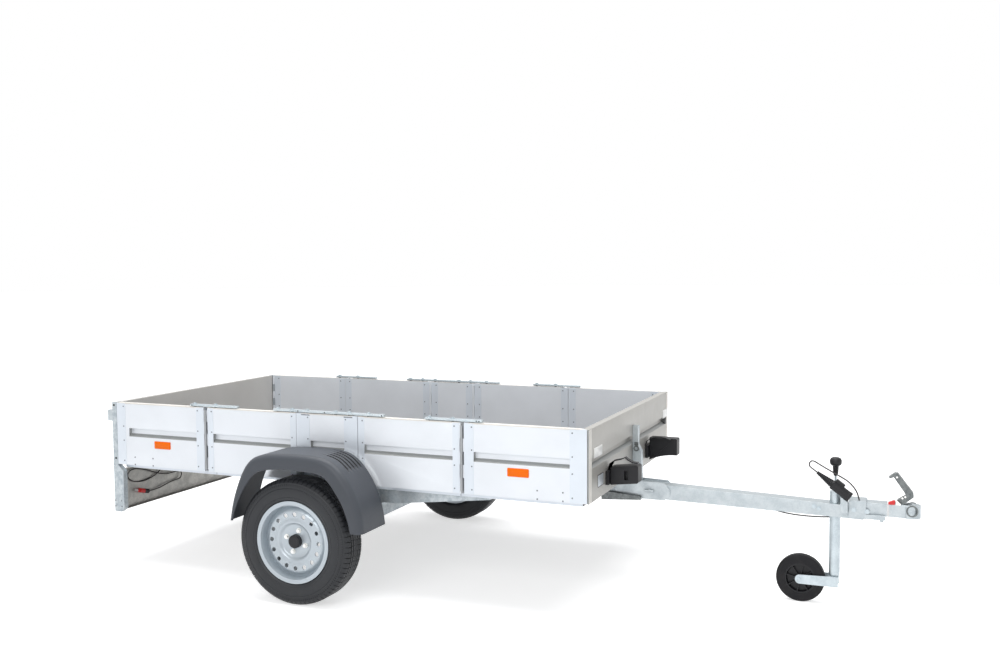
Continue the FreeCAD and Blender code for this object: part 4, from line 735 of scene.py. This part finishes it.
# %% Turned shapes
def turned(outline, centre, steps=96, axis=1):
    """A bmesh turned about an axis; the outline is a closed loop of (along, radius)."""
    bm = bmesh.new()
    first, second = [index for index in range(3) if index != axis]
    rings = []
    for along, radius in outline:
        ring = []
        for step in range(steps if radius > 1e-6 else 1):
            angle = 2 * math.pi * step / steps
            place = Vector(centre)
            place[axis] += along
            place[first] += radius * math.cos(angle)
            place[second] += radius * math.sin(angle)
            ring.append(bm.verts.new(place))
        rings.append(ring)
    for ring, following in zip(rings, rings[1:] + rings[:1]):
        for step in range(steps):
            after = (step + 1) % steps
            corners = [ring[step % len(ring)], ring[after % len(ring)],
                       following[after % len(following)], following[step % len(following)]]
            corners = list(dict.fromkeys(corners))
            if len(corners) > 2:
                bm.faces.new(corners)
    bmesh.ops.recalc_face_normals(bm, faces=bm.faces)
    return bm


def mirrored(outline):
    """An outline and the same again on the other side of the middle."""
    return outline + [(-along, radius) for along, radius in reversed(outline)]


# %% [markdown]
# Tread blocks and ribs stand round a wheel at even steps. One is drawn about the origin, at the
# top, and Geometry Nodes set it round a line along Y. The number, the first turn and the centre
# are inputs of the tree, so that both kinds of wheel share it.

# %% Geometry tree: one piece repeated round an axle
def make_round_tree():
    """A piece repeated round a line along Y through a centre."""
    tree, start, end = new_tree("Geometry", "RoundAxle", [
        MESH_SOCKET, ("Count", "Int"), ("First Turn", "Float"), ("Centre", "Vector"),
        ("Material", "Material")], [MESH_SOCKET])
    points = add(tree, "GeometryNodePoints", {"Count": start["Count"], "Position": start["Centre"]})
    share = maths(tree, "DIVIDE", add(tree, "GeometryNodeInputIndex").outputs[0], start["Count"])
    turn = maths(tree, "MULTIPLY_ADD", share, 2 * math.pi, start["First Turn"])
    rotation = add(tree, "FunctionNodeAxisAngleToRotation", {"Axis": (0, 1, 0), "Angle": turn})
    return finish_tree(tree, start, end, points.outputs[0], start["Geometry"], rotation.outputs[0])


ROUND = make_round_tree()


def repeat_round(name, bm, count, centre, material, first_turn=0.0):
    """The mesh of a piece repeated round a centre."""
    return grow(name, mesh_from(bm, name + "_one"), ROUND, {
        "Count": count, "First Turn": first_turn, "Centre": Vector(centre), "Material": material})


# %% [markdown]
# The tyre is a turned carcass with thin rings on its side walls. Its tread is rows of blocks
# between grooves. One pitch of the tread is made block by block, and is set round the
# wheel as often as the real tyre shows.

# %% Tyres
TREAD_PITCHES = 74
TREAD_CROWN, TREAD_ROOT, GROOVE_FLOOR = 0.2798, 0.269, 0.2722
TYRE_SIDE = [(0.0595, 0.1656), (0.06, 0.1825), (0.064, 0.185), (0.069, 0.1905), (0.0706, 0.1975),
             (0.0722, 0.199), (0.0712, 0.201), (0.0727, 0.211), (0.0732, 0.218), (0.0732, 0.229),
             (0.0722, 0.2365), (0.0739, 0.238), (0.072, 0.24), (0.0708, 0.248), (0.0685, 0.2575),
             (0.0655, 0.263), (0.059, 0.2685), (0.045, 0.2715), (0.0305, GROOVE_FLOOR), (0.03, GROOVE_FLOOR),
             (0.0035, GROOVE_FLOOR), (0.0032, 0.2796)]
# Each row of blocks: its low and high side along the axle, its share of the pitch and its slant.
BLOCK_ROWS = (0.0055, 0.0165, 0.93, 0.35), (0.0215, 0.0335, 0.9, 0.45), (0.0385, 0.0672, 0.86, 0.12)


def tread_radius(out):
    """The tread's radius at a distance from the middle: flat, then falling, then falling off."""
    return TREAD_CROWN - max(out - 0.04, 0) * 0.2 - max(out - 0.054, 0) * 0.85


def add_tread_block(bm, low, high, share, slant, side):
    """One tread block, drawn at the top of the wheel."""
    pitch = 2 * math.pi / TREAD_PITCHES
    columns = 7 if high - low > 0.02 else 2
    rows = []
    for column in range(columns):
        out = low + (high - low) * column / (columns - 1)
        turn = slant * (out - low) / 0.28
        row = []
        for step in range(4):
            angle = pitch * share * (step / 3 - 0.5) + turn * side
            for radius in (tread_radius(out), min(TREAD_ROOT, tread_radius(out) - 0.004)):
                row.append(bm.verts.new((radius * math.sin(angle), side * out, radius * math.cos(angle))))
        rows.append(row)
    for near, far in zip(rows, rows[1:]):
        for a in (0, 2, 4):
            bm.faces.new((near[a], near[a + 2], far[a + 2], far[a]))
        for a in (0, 6):
            bm.faces.new((near[a], far[a], far[a + 1], near[a + 1]))
    for row in (rows[0], rows[-1]):
        for a in (0, 2, 4):
            bm.faces.new((row[a], row[a + 2], row[a + 3], row[a + 1]))


def make_tyre(side, side_name):
    """Carcass, tread and shoulder ribs of one tyre, in one mesh."""
    centre = (AXLE_X, side * WHEEL_Y, WHEEL_Z)
    carcass, pitch, rib = turned(mirrored(TYRE_SIDE), centre, 180), bmesh.new(), bmesh.new()
    for flank in (-1, 1):
        for row in BLOCK_ROWS:
            add_tread_block(pitch, *row, flank)
        add_block(rib, (-0.0016, 0.0016), (flank * 0.06, flank * 0.0712), (0.246, 0.2568))
    for bm, name, count in ((pitch, "tread_", TREAD_PITCHES), (rib, "shoulder_", 2 * TREAD_PITCHES)):
        bmesh.ops.recalc_face_normals(bm, faces=bm.faces)
        carcass.from_mesh(repeat_round(name + side_name, bm, count, centre, TYRE_RUBBER))
    for face in carcass.faces:
        face.material_index = 0
    node = "tyre_" + side_name
    print(node, "faces:", len(carcass.faces))
    piece(carcass, node + "_skin", TYRE_RUBBER, node, node, smooth=30)


# %% [markdown]
# Through the holes of the wheel one sees the dark barrel of the hub, and in its middle stands a
# black cap between four bright bolts. Barrel and cap are turned from outlines that count inwards
# from the disc, and the bolts come from the tree of heads, on a circle of points.

# %% Hubs, caps and wheel bolts
HUB_BARREL = [(0.0655, 0), (0.0655, 0.056), (0.0595, 0.062), (-0.0295, 0.062), (-0.0297, 0)]
CAP = [(-0.028, 0), (-0.028, 0.0292), (-0.05, 0.0292), (-0.0535, 0.0275), (-0.055, 0.024), (-0.0553, 0.018),
       (-0.0545, 0.0165), (-0.0545, 0)]
BOLT_CIRCLE, BOLT_FACE, FIRST_BOLT = 0.05, 0.0342, 72


def make_hub(side, side_name):
    """The dark barrel behind the disc, the black cap and four bright wheel bolts."""
    node = "hub_" + side_name
    for outline, label, finish, replaced in ((HUB_BARREL, "_barrel", GALVANISED, [node]),
                                             (CAP, "_cap", BLACK_PLASTIC, [])):
        shape = turned([(-side * along, radius) for along, radius in outline],
                       (AXLE_X, side * WHEEL_Y, WHEEL_Z), 64)
        piece(shape, node + label, finish, node, *replaced)
    turns = [math.radians(FIRST_BOLT + 90 * number) for number in range(4)]
    spots = [((AXLE_X + BOLT_CIRCLE * math.cos(turn), side * (WHEEL_Y + BOLT_FACE),
               WHEEL_Z + BOLT_CIRCLE * math.sin(turn)), (0, side, 0)) for turn in turns]
    put_heads(node + "_bolts", node, spots, BRIGHT_BOLT, 0.0086, 0.0108, 6, (0.0115, 0.0025))


for side, side_name in SIDES:
    make_tyre(side, side_name)
    make_hub(side, side_name)
print("wheels with four bolts each:", len(SIDES))

# %% [markdown]
# The mudguard is one moulding: a band bent over the wheel, its outer edge rolled down into a
# broad lip, with five long grooves over the front bend. The band is a grid. One direction runs
# along the arch, the other across it from the box to the lip, and Solidify gives it thickness.

# %% Mudguards
GUARD_ARCH = [
    (-0.312, 0.357), (-0.3, 0.45), (-0.262, 0.556), (-0.212, 0.634), (-0.145, 0.66), (-0.04, 0.67),
    (0.1, 0.671), (0.185, 0.66), (0.238, 0.627), (0.286, 0.57), (0.326, 0.5), (0.349, 0.425), (0.359, 0.352)]
GUARD_IN, GUARD_FLAT, GUARD_OUT, GUARD_THICK = 0.7012, 0.88, 0.9108, 0.004
GROOVE_FIRST, GROOVE_STEP, GROOVE_DEEP = 0.728, 0.026, 0.006
GROOVE_START, GROOVE_END = 0.13, 0.262


def arch_path():
    """Places and outward ways along the arch, smoothed by cutting its corners three times."""
    places = [Vector(place) for place in GUARD_ARCH]
    for _ in range(3):
        cut = [places[0]]
        for before, after in zip(places, places[1:]):
            cut += [before.lerp(after, 0.25), before.lerp(after, 0.75)]
        places = cut + [places[-1]]
    ways = []
    for number, place in enumerate(places):
        run = places[min(number + 1, len(places) - 1)] - places[max(number - 1, 0)]
        way = Vector((-run.y, run.x)).normalized()
        foot = places[0].y if place.x < 0 else places[-1].y
        way.y *= min(1.0, (place.y - foot) / 0.09)
        ways.append(way.normalized())
    return places, ways


def lip_depth(place):
    """How deep the outer lip hangs: shallow at the rear foot, deep over the wheel."""
    if place.x < 0:
        return 0.016 + 0.05 * min(1, max(0, place.y - 0.36) / 0.27)
    return 0.054 + 0.014 * min(1, max(0, place.y - 0.36) / 0.2)


def guard_section(lip):
    """Across the band: places as (distance from the box side, depth below the arch)."""
    marks = [GUARD_IN + 0.0035 * step for step in range(5)] + [0.842, 0.853, 0.864, 0.873, GUARD_FLAT]
    marks += [GROOVE_FIRST + GROOVE_STEP * number + shift for number in range(5)
              for shift in (-0.0065, -0.0038, 0.0, 0.0038, 0.0065)]
    section = [(mark, 0.0) for mark in sorted(marks)]
    corner, reach = min(0.026, lip * 0.6), GUARD_OUT - GUARD_FLAT
    for step in range(1, 9):
        turn = math.pi / 2 * step / 8
        section.append((GUARD_FLAT + reach * math.sin(turn), corner * (1 - math.cos(turn))))
    return section + [(GUARD_OUT, (lip + corner) / 2), (GUARD_OUT - 0.0005, lip),
                      (GUARD_OUT - 0.006, lip + 0.001)]


def groove_depth(along, across):
    """How deep the five moulded grooves are at a place on the band."""
    offset = (across - GROOVE_FIRST) / GROOVE_STEP
    if not GROOVE_START < along < GROOVE_END or not -0.5 < offset < 4.5:
        return 0.0
    fade = min(1, (along - GROOVE_START) / 0.02, (GROOVE_END - along) / 0.02)
    near = abs(offset - round(offset))
    return GROOVE_DEEP * fade * min(1.0, max(0.0, (0.25 - near) / 0.1))


def make_guard(side, side_name):
    """One mudguard: a grid of places on the band, its grooves painted darker as shade, given a wall."""
    bm, grid = bmesh.new(), []
    for place, way in zip(*arch_path()):
        row, section = [], guard_section(lip_depth(place))
        for across, depth in section:
            sunk = place - way * (depth + groove_depth(place.x, across) * (1 if depth == 0 else 0))
            row.append(bm.verts.new((AXLE_X + sunk.x, side * across, sunk.y)))
        grid.append(row)
    for near, far in zip(grid, grid[1:]):
        for column in range(len(section) - 1):
            corners = (near[column], near[column + 1], far[column + 1], far[column])
            face = bm.faces.new(corners if side < 0 else corners[::-1])
            middle = face.calc_center_median()
            # Groove faces take black plastic: painted shade in the grooves.
            face.material_index = int(groove_depth(middle.x - AXLE_X, abs(middle.y)) > 0.002)
    node = "mudguard_" + side_name
    obj = piece(bm, node + "_skin", GUARD_PLASTIC, node, node, smooth=40)
    obj.data.materials.append(BLACK_PLASTIC)
    wall = obj.modifiers.new("Wall", "SOLIDIFY")
    wall.thickness, wall.offset = GUARD_THICK, -1
    print(node, "faces:", len(obj.data.polygons))


for side, side_name in SIDES:
    make_guard(side, side_name)

# The tops of the stays are lowered, so that they end below the band.
STAY_TOP, STAY_DROP = 0.67, 0.0142
for vertex in bpy.data.objects["mudguard_stays_skin"].data.vertices:
    if vertex.co.z > STAY_TOP:
        vertex.co.z -= STAY_DROP

# %% [markdown]
# The jockey wheel is a solid rubber tyre on a moulded plastic hub with short ribs. The tyre and
# hub are turned shapes, and the ribs repeat round the axle.

# %% Jockey wheel
JOCKEY_X, JOCKEY_RADIUS = 1.3835, 0.104
ROLLER = [(0.0235, 0.066), (0.0238, 0.09), (0.022, 0.098), (0.017, 0.103), (0.009, JOCKEY_RADIUS)]
ROLLER_HUB = [(0.024, 0.0062), (0.024, 0.0185), (0.0225, 0.02), (0.006, 0.0205), (0.005, 0.056),
              (0.016, 0.059), (0.0215, 0.06), (0.0215, 0.0658)]


def make_roller():
    """Tyre, hub and ribs of the jockey wheel."""
    node, centre = "jockey_wheel", (JOCKEY_X, 0, JOCKEY_RADIUS)
    piece(turned(mirrored(ROLLER), centre), "roller_tyre", SOLID_RUBBER, node, node, smooth=30)
    piece(turned(mirrored(ROLLER_HUB), centre), "roller_hub", BLACK_PLASTIC, node, smooth=30)
    rib = bmesh.new()
    for flank in (-1, 1):
        add_block(rib, (-0.002, 0.002), (flank * 0.0045, flank * 0.019), (0.0195, 0.0598))
    round_edges(rib, 0.0006, 1)
    piece(repeat_round("roller_ribs", rib, 8, centre, BLACK_PLASTIC, 0.2), "roller_ribs", BLACK_PLASTIC, node)
    print("jockey wheel across:", 2 * JOCKEY_RADIUS)


make_roller()

# %% [markdown]
# The parked plug is a round housing with a spring lid, and a rubber boot whose rings let the
# cable bend. It is drawn along one line from its open end to the boot's tip and then tilted into
# its bracket. The rings are part of the turned outline.

# %% Plug
PLUG_PLACE, PLUG_TILT = Vector((1.5885, -0.053, 0.485)), math.radians(36.4)
HOUSING = [(0, 0), (0, 0.02), (0.0015, 0.0217), (0.012, 0.0217), (0.0135, 0.0208), (0.08, 0.0208),
           (0.0815, 0.0217), (0.0885, 0.0217), (0.09, 0.02), (0.0905, 0.0176)]
BOOT_TIP = [(0.162, 0.0072), (0.1685, 0.0066), (0.1685, 0)]


def make_plug():
    """Housing, lid and ringed boot of the plug."""
    outline = list(HOUSING)
    for ring in range(8):
        start, radius = 0.096 + ring * 0.0078, 0.0166 - ring * 0.0011
        outline += [(start, radius - 0.0014), (start + 0.0012, radius), (start + 0.0048, radius),
                    (start + 0.006, radius - 0.0014)]
    bm = turned([(-along, radius) for along, radius in outline + BOOT_TIP], (0, 0, 0), 48, axis=0)
    add_block(bm, (-0.088, -0.046), (-0.01, 0.01), (0.018, 0.0305))
    tilt = Matrix.Translation(PLUG_PLACE) @ Matrix.Rotation(PLUG_TILT, 4, "Y")
    bmesh.ops.transform(bm, matrix=tilt, verts=bm.verts)
    return piece(bm, "plug_skin", BLACK_PLASTIC, "plug", "plug", smooth=30)


plug_skin = make_plug()
print("plug faces:", len(plug_skin.data.polygons))

# %% [markdown]
# Bolts go through the drawbar and the coupling's sleeve, and nuts hold the locking bars. They
# come from the same tree as the rivets, with six sides and a washer. The locking bars are straps
# with rounded ends that cover the seams between the walls.

# %% Bolts and locking bars
BEAM_SIDE, SLEEVE_SIDE, BAR_TOP = 0.035, 0.041, 0.828


def from_axle(*places):
    """Places in a side view whose first number counts forwards from the axle."""
    return [(AXLE_X + along, height) for along, height in places]


def side_spots(out, places, sides=(-1, 1)):
    """Spots for heads at places in a side view, on faces at a distance from the middle."""
    return [((x, side * out, z), (0, side, 0)) for side in sides for x, z in places]


def make_bars(node, start, end, nuts, holes):
    """Straps with rounded ends over the seams, with nuts, studs and holes; all count from the axle."""
    low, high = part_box(node)
    sides = (-1, 1) if low.y * high.y < 0 else (int(math.copysign(1, low.y)),)
    bm = bmesh.new()
    for side in sides:
        strap = bmesh.new()
        add_block(strap, (AXLE_X + start, AXLE_X + end), (side * 0.648, side * 0.673), (0.8195, BAR_TOP))
        bevel(strap, edges_along(strap, 2, 0.005), 0.008, 5)
        bm.from_mesh(mesh_from(strap))
    round_edges(bm, 0.0008)
    piece(bm, node + "_straps", ZINC_PLATED, node, node)
    tops, feet = ([((AXLE_X + x, side * 0.66, height), (0, 0, 1)) for side in sides for x in nuts]
                  for height in (BAR_TOP, 0.8175))
    put_heads(node + "_nuts", node, tops, ZINC_PLATED, 0.0075, 0.0058, 6, (0.0112, 0.0022))
    put_heads(node + "_studs", node, feet, DARK_ZINC, 0.006, 0.0021, 16)
    # The holes are black discs: painted shade for the dark inside of each hole.
    spots = side_spots(0.673, [(AXLE_X + x, 0.8238) for x in holes], sides)
    put_heads(node + "_holes", node, spots, BLACK_PLASTIC, 0.003, 0.0005, 12)


beam_spots = side_spots(BEAM_SIDE, from_axle((2.098, 0.432), (2.118, 0.424), (2.225, 0.428)))
put_heads("drawbar_bolts", "drawbar", beam_spots, ZINC_PLATED, 0.0065, 0.005, 6, (0.0095, 0.0012))
sleeve_spots = side_spots(SLEEVE_SIDE, from_axle((2.262, 0.432), (2.315, 0.428)))
put_heads("sleeve_bolts", "coupling_head", sleeve_spots, ZINC_PLATED, 0.008, 0.0045, 6, (0.0105, 0.0015))
make_bars("lock_bars_centre", -0.2385, 0.3415, (-0.2165, -0.1385, -0.0585, 0.0895, 0.1615, 0.26),
          (-0.1, 0.04, 0.332))
for side_name in ("right", "left"):
    make_bars("lock_bar_front_" + side_name, 0.5395, 0.8115, (0.5595, 0.6695), (0.786, 0.798))
    make_bars("lock_bar_rear_" + side_name, -0.7085, -0.4365, (-0.5665, -0.6865), (-0.694,))
print("straps on five nodes")

# %% [markdown]
# A red tongue beside the coupling's lever shows whether the ball is held. It, the lever's light
# catch and the sleeve's side plates are prisms: a profile drawn in the side view and given a
# width. The ring at the nose is turned.

# %% Fittings of the coupling
TONGUE = (2.398, 0.464), (2.4235, 0.464), (2.4265, 0.48), (2.42, 0.483), (2.398, 0.473)
CATCH = (2.4265, 0.464), (2.448, 0.464), (2.448, 0.47), (2.432, 0.484), (2.428, 0.482)


def add_prism(bm, profile, low, high):
    """A prism along Y; the profile is drawn in the side view."""
    rings = [[bm.verts.new((x, along, z)) for x, z in profile] for along in (low, high)]
    for number in range(len(profile)):
        after = (number + 1) % len(profile)
        bm.faces.new((rings[0][number], rings[0][after], rings[1][after], rings[1][number]))
    bm.faces.new(rings[0])
    bm.faces.new(rings[1])
    bmesh.ops.recalc_face_normals(bm, faces=bm.faces)


def make_coupling_fittings():
    """The red tongue, its light catch, the sleeve's side plates and the nose ring."""
    x, node = AXLE_X, "coupling_head"
    tongue, catch, plates, ring = bmesh.new(), bmesh.new(), bmesh.new(), bmesh.new()
    add_prism(tongue, from_axle(*TONGUE), -0.034, -0.018)
    add_prism(catch, from_axle(*CATCH), -0.036, -0.03)
    for side in (-1, 1):
        add_block(plates, (x + 2.29, x + 2.388), (side * 0.036, side * 0.042), (0.396, 0.416))
        add_block(plates, (x + 2.366, x + 2.38), (side * 0.018, side * 0.04), (0.388, 0.4))
        outline = [(side * 0.03, 0.019), (side * 0.0405, 0.019), (side * 0.0405, 0.024), (side * 0.03, 0.024)]
        ring.from_mesh(mesh_from(turned(outline, (x + 2.4925, 0, 0.443), 40)))
    for bm, name, finish in ((tongue, "wear_tongue", RED_PLASTIC), (catch, "lever_catch", BRIGHT_BOLT),
                             (plates, "sleeve_sides", BEAM_ZINC)):
        round_edges(bm, 0.0007)
        piece(bm, name, finish, node)
    piece(ring, "nose_ring", DARK_ZINC, node)
    spots = side_spots(0.017, from_axle((2.4302, 0.579), (2.464, 0.4975), (2.453, 0.4915)))
    put_heads("lever_holes", "coupling_lever", spots, BRIGHT_BOLT, 0.0042, 0.0008, 16)
    print("fittings of the coupling: 5")


make_coupling_fittings()

# %% [markdown]
# Small fittings finish the ends of the box: a spring pin on the front post, rubber straps that
# hold the chocks, handles and holes on the rear posts, and a few rivets low on the corner boards
# that hold the floor's hinges. Each is small, yet together they make the sheet metal look worked.

# %% Fittings in front
CHANNEL = [(0.64, 0.66), (0.648, 0.66), (0.669, 0.62), (0.67, 0.41), (0.655, 0.398), (0.64, 0.398)]
SHEET = [(0.49, 0.405), (0.522, 0.428), (0.675, 0.418), (0.675, 0.401), (0.49, 0.389)]
NEAR_STRAP = [(0.63, 0.601), (0.635, 0.633), (0.656, 0.648), (0.688, 0.656), (0.704, 0.664), (0.715, 0.656),
              (0.736, 0.6455), (0.76, 0.643)]
FAR_STRAP = [(0.63, 0.61), (0.638, 0.632), (0.656, 0.645), (0.68, 0.653), (0.705, 0.655), (0.73, 0.651),
             (0.752, 0.644)]


def make_front_fittings():
    """The post's channel, the sheet below it, its spring pin, the chock straps and the board's edges."""
    channel, sheet, pin, straps, edge, shade_block = (bmesh.new() for _ in range(6))
    add_prism(channel, CHANNEL, -0.024, 0.01)
    outline = [(-0.024, 0.008), (-0.024, 0.013), (-0.031, 0.013), (-0.031, 0.008)]
    pin.from_mesh(mesh_from(turned(outline, (0.648, 0, 0.633), 32)))
    add_block(pin, (0.639, 0.657), (-0.029, -0.023), (0.647, 0.662))
    for low, path in ((-0.418, NEAR_STRAP), (0.198, FAR_STRAP)):
        under = [(place - 0.0012, height - 0.0046) for place, height in reversed(path)]
        add_prism(straps, path + under, low, low + 0.024)
    for side in (-1, 1):
        # The sheet under the post takes the dark zinc as painted shade, for the shadow under the floor.
        add_prism(sheet, SHEET, side * 0.036, side * 0.058)
        add_block(edge, (FRONT_FACE - 0.001, FRONT_FACE + 0.0012), (side * 0.64, side * 0.6735),
                  (0.5105, 0.813))
    round_edges(edge, 0.0004, 1)
    # A black block at the end of the front board's groove is painted shade, for the shaded end wall of the
    # groove.
    add_block(shade_block, (FRONT_FACE - 0.001, FRONT_FACE + 0.001), (0.61, 0.6395), (0.652, 0.674))
    for bm, name, finish, node in (
            (edge, "front_board_edges", TRIM, "front_board"),
            (shade_block, "groove_end_shade", BLACK_PLASTIC, "front_board"),
            (channel, "post_channel", BEAM_ZINC, "front_post"), (sheet, "shaded_beam_sheet", DARK_ZINC, "drawbar"),
            (pin, "spring_pin", DARK_ZINC, "front_post"),
            (straps, "chock_straps", BLACK_PLASTIC, "wheel_chocks")):
        piece(bm, name, finish, node)
    print("fittings in front: 6")


make_front_fittings()

# %% Fittings at the rear
def make_rear_fittings():
    """Handles, holes and rivets on the rear posts, and low rivets on the corner boards."""
    handles, node = bmesh.new(), "rear_posts"
    for side in (-1, 1):
        add_block(handles, (-1.8683, -1.8395), (side * 0.648, side * 0.672), (0.722, 0.776))
    round_edges(handles, 0.003, 3)
    piece(handles, "post_handles", BEAM_ZINC, node)
    # The holes are black discs: painted shade for the dark inside of each hole.
    holes = side_spots(HALF_WIDTH, ((-1.8222, 0.5375), (-1.8265, 0.801)))
    put_heads("post_holes", node, holes, BLACK_PLASTIC, 0.0055, 0.0005, 20)
    rivets = side_spots(HALF_WIDTH, [(x, z) for x in (-1.833, -1.795) for z in (0.297, 0.325)])
    put_heads("post_rivets", node, rivets, DARK_RIVET, 0.0036, 0.001, 10)
    for end_name, places in (("front", (0.402, 0.5142)), ("rear", (-1.7022, -1.5925))):
        for side, side_name in SIDES:
            wall = f"wall_{end_name}_outer_{side_name}"
            spots = side_spots(HALF_WIDTH, [(x, z) for x in places for z in (0.5495, 0.514)], (side,))
            put_heads(wall + "_low_rivets", wall, spots, DARK_RIVET, 0.0034, 0.0011, 10)
    print("rivets on the rear posts:", len(rivets))


make_rear_fittings()

# %% [markdown]
# The rear lamps are black housings with three lenses each. They aren't seen in the photograph,
# and the trailer is looked at from all sides, so they follow what such trailers carry.

# %% Rear lamps
LAMP_IN, LAMP_OUT = 0.4345, 0.6335


def make_lamps():
    """Two housings, and the lenses of each colour in one piece."""
    low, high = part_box("rear_lamps")
    housings = bmesh.new()
    for side in (-1, 1):
        add_block(housings, (low.x + 0.01, high.x), (side * LAMP_IN, side * LAMP_OUT), (low.z, high.z))
    round_edges(housings, 0.004, 3)
    piece(housings, "lamp_housings", BLACK_PLASTIC, "rear_lamps", "rear_lamps")
    for colour, finish, far, near in (("red", RED_LENS, LAMP_OUT - 0.062, LAMP_OUT - 0.136),
                                      ("amber", ORANGE, LAMP_OUT - 0.006, LAMP_OUT - 0.058),
                                      ("clear", WHITE_REFLECTOR, LAMP_OUT - 0.14, LAMP_IN + 0.006)):
        lenses = bmesh.new()
        for side in (-1, 1):
            add_block(lenses, (low.x + 0.001, low.x + 0.014), (side * near, side * far),
                      (low.z + 0.006, high.z - 0.006))
        round_edges(lenses, 0.0035, 3)
        piece(lenses, "lamp_lens_" + colour, finish, "rear_lamps")
    print("lamps with three lenses each: 2")


make_lamps()

# %% [markdown]
# The studio is a pale floor that the shadow falls on, a world that looks white to the camera and
# a few large soft lamps. Close to the trailer the floor is a dull grey that takes the shadow and
# glows a little for the camera. Further out the glow rises until the floor is the same white as
# the world, so no horizon shows.

# %% World and floor
def seen_rays(tree):
    """One for rays that the camera sees, straight, mirrored or through glass."""
    rays = add(tree, "ShaderNodeLightPath").outputs
    mirrored_too = maths(tree, "MAXIMUM", rays["Is Camera Ray"], rays["Is Glossy Ray"])
    return maths(tree, "MAXIMUM", mirrored_too, rays["Is Transmission Ray"])


def make_world():
    """A dim grey world for the light and a white one for what is seen."""
    world = bpy.data.worlds.new("Studio")
    bpy.context.scene.world = world
    world.use_nodes = True
    tree = world.node_tree
    dull = tree.nodes["Background"]
    connect(tree, dull, {"Color": (0.95, 0.97, 1.0, 1), "Strength": 0.38})
    white = add(tree, "ShaderNodeBackground", {"Color": (1, 1, 1, 1), "Strength": 1.0})
    mixer = add(tree, "ShaderNodeMixShader", {"Fac": seen_rays(tree), 1: dull.outputs[0],
                                              2: white.outputs[0]})
    connect(tree, tree.nodes["World Output"], {"Surface": mixer.outputs[0]})


def make_floor():
    """A wide pale floor under the wheels."""
    bm = bmesh.new()
    bmesh.ops.create_circle(bm, cap_ends=True, segments=96, radius=60)
    material, tree, shader = base_material("StudioFloor", 0.0, 0.1)
    place = add(tree, "ShaderNodeTexCoord").outputs["Object"]
    reach = add(tree, "ShaderNodeVectorMath", {0: place}, operation="LENGTH").outputs["Value"]
    glow = maths(tree, "MULTIPLY", ramp(tree, reach, 2.4, 4.6, 0.6, 1.0), seen_rays(tree))
    connect(tree, shader, {"Base Color": (0.8, 0.8, 0.8, 1), "Roughness": 0.9, "Emission Color": (1, 1, 1, 1),
                           "Emission Strength": glow})
    object_from(bm, "StudioFloor", material)


make_world()
make_floor()

# %% [markdown]
# Three soft lamps do what the studio's do. A broad one from the right lights the near walls, one
# overhead lights floor and wall tops, and a weak one in front lifts the coupling. The walls are
# nearly white, so the lamps stay low enough to keep their grooves and rivets readable.

# %% Lamps
def soft_lamp(name, place, target, size, power):
    """A large rectangular lamp that looks at a point."""
    data = bpy.data.lights.new(name, "AREA")
    data.shape, data.energy = "RECTANGLE", power
    data.size, data.size_y = size
    aim = Vector(target) - Vector(place)
    lamp = add_object(name, data)
    lamp.matrix_world = Matrix.Translation(place) @ aim.to_track_quat("-Z", "Y").to_matrix().to_4x4()


soft_lamp("SideBox", (0.2, -8.0, 4.6), (-0.3, 0, 0.5), (6.0, 4.0), 275)
soft_lamp("TopBox", (0, 0, 5.0), (0, 0, 0), (6.0, 4.0), 270)
soft_lamp("FrontFill", (6.0, -1.0, 2.5), (1, 0, 0.5), (3.0, 3.0), 7)
bpy.context.scene.view_settings.view_transform = "Standard"
print("lamps:", len(bpy.data.lights))
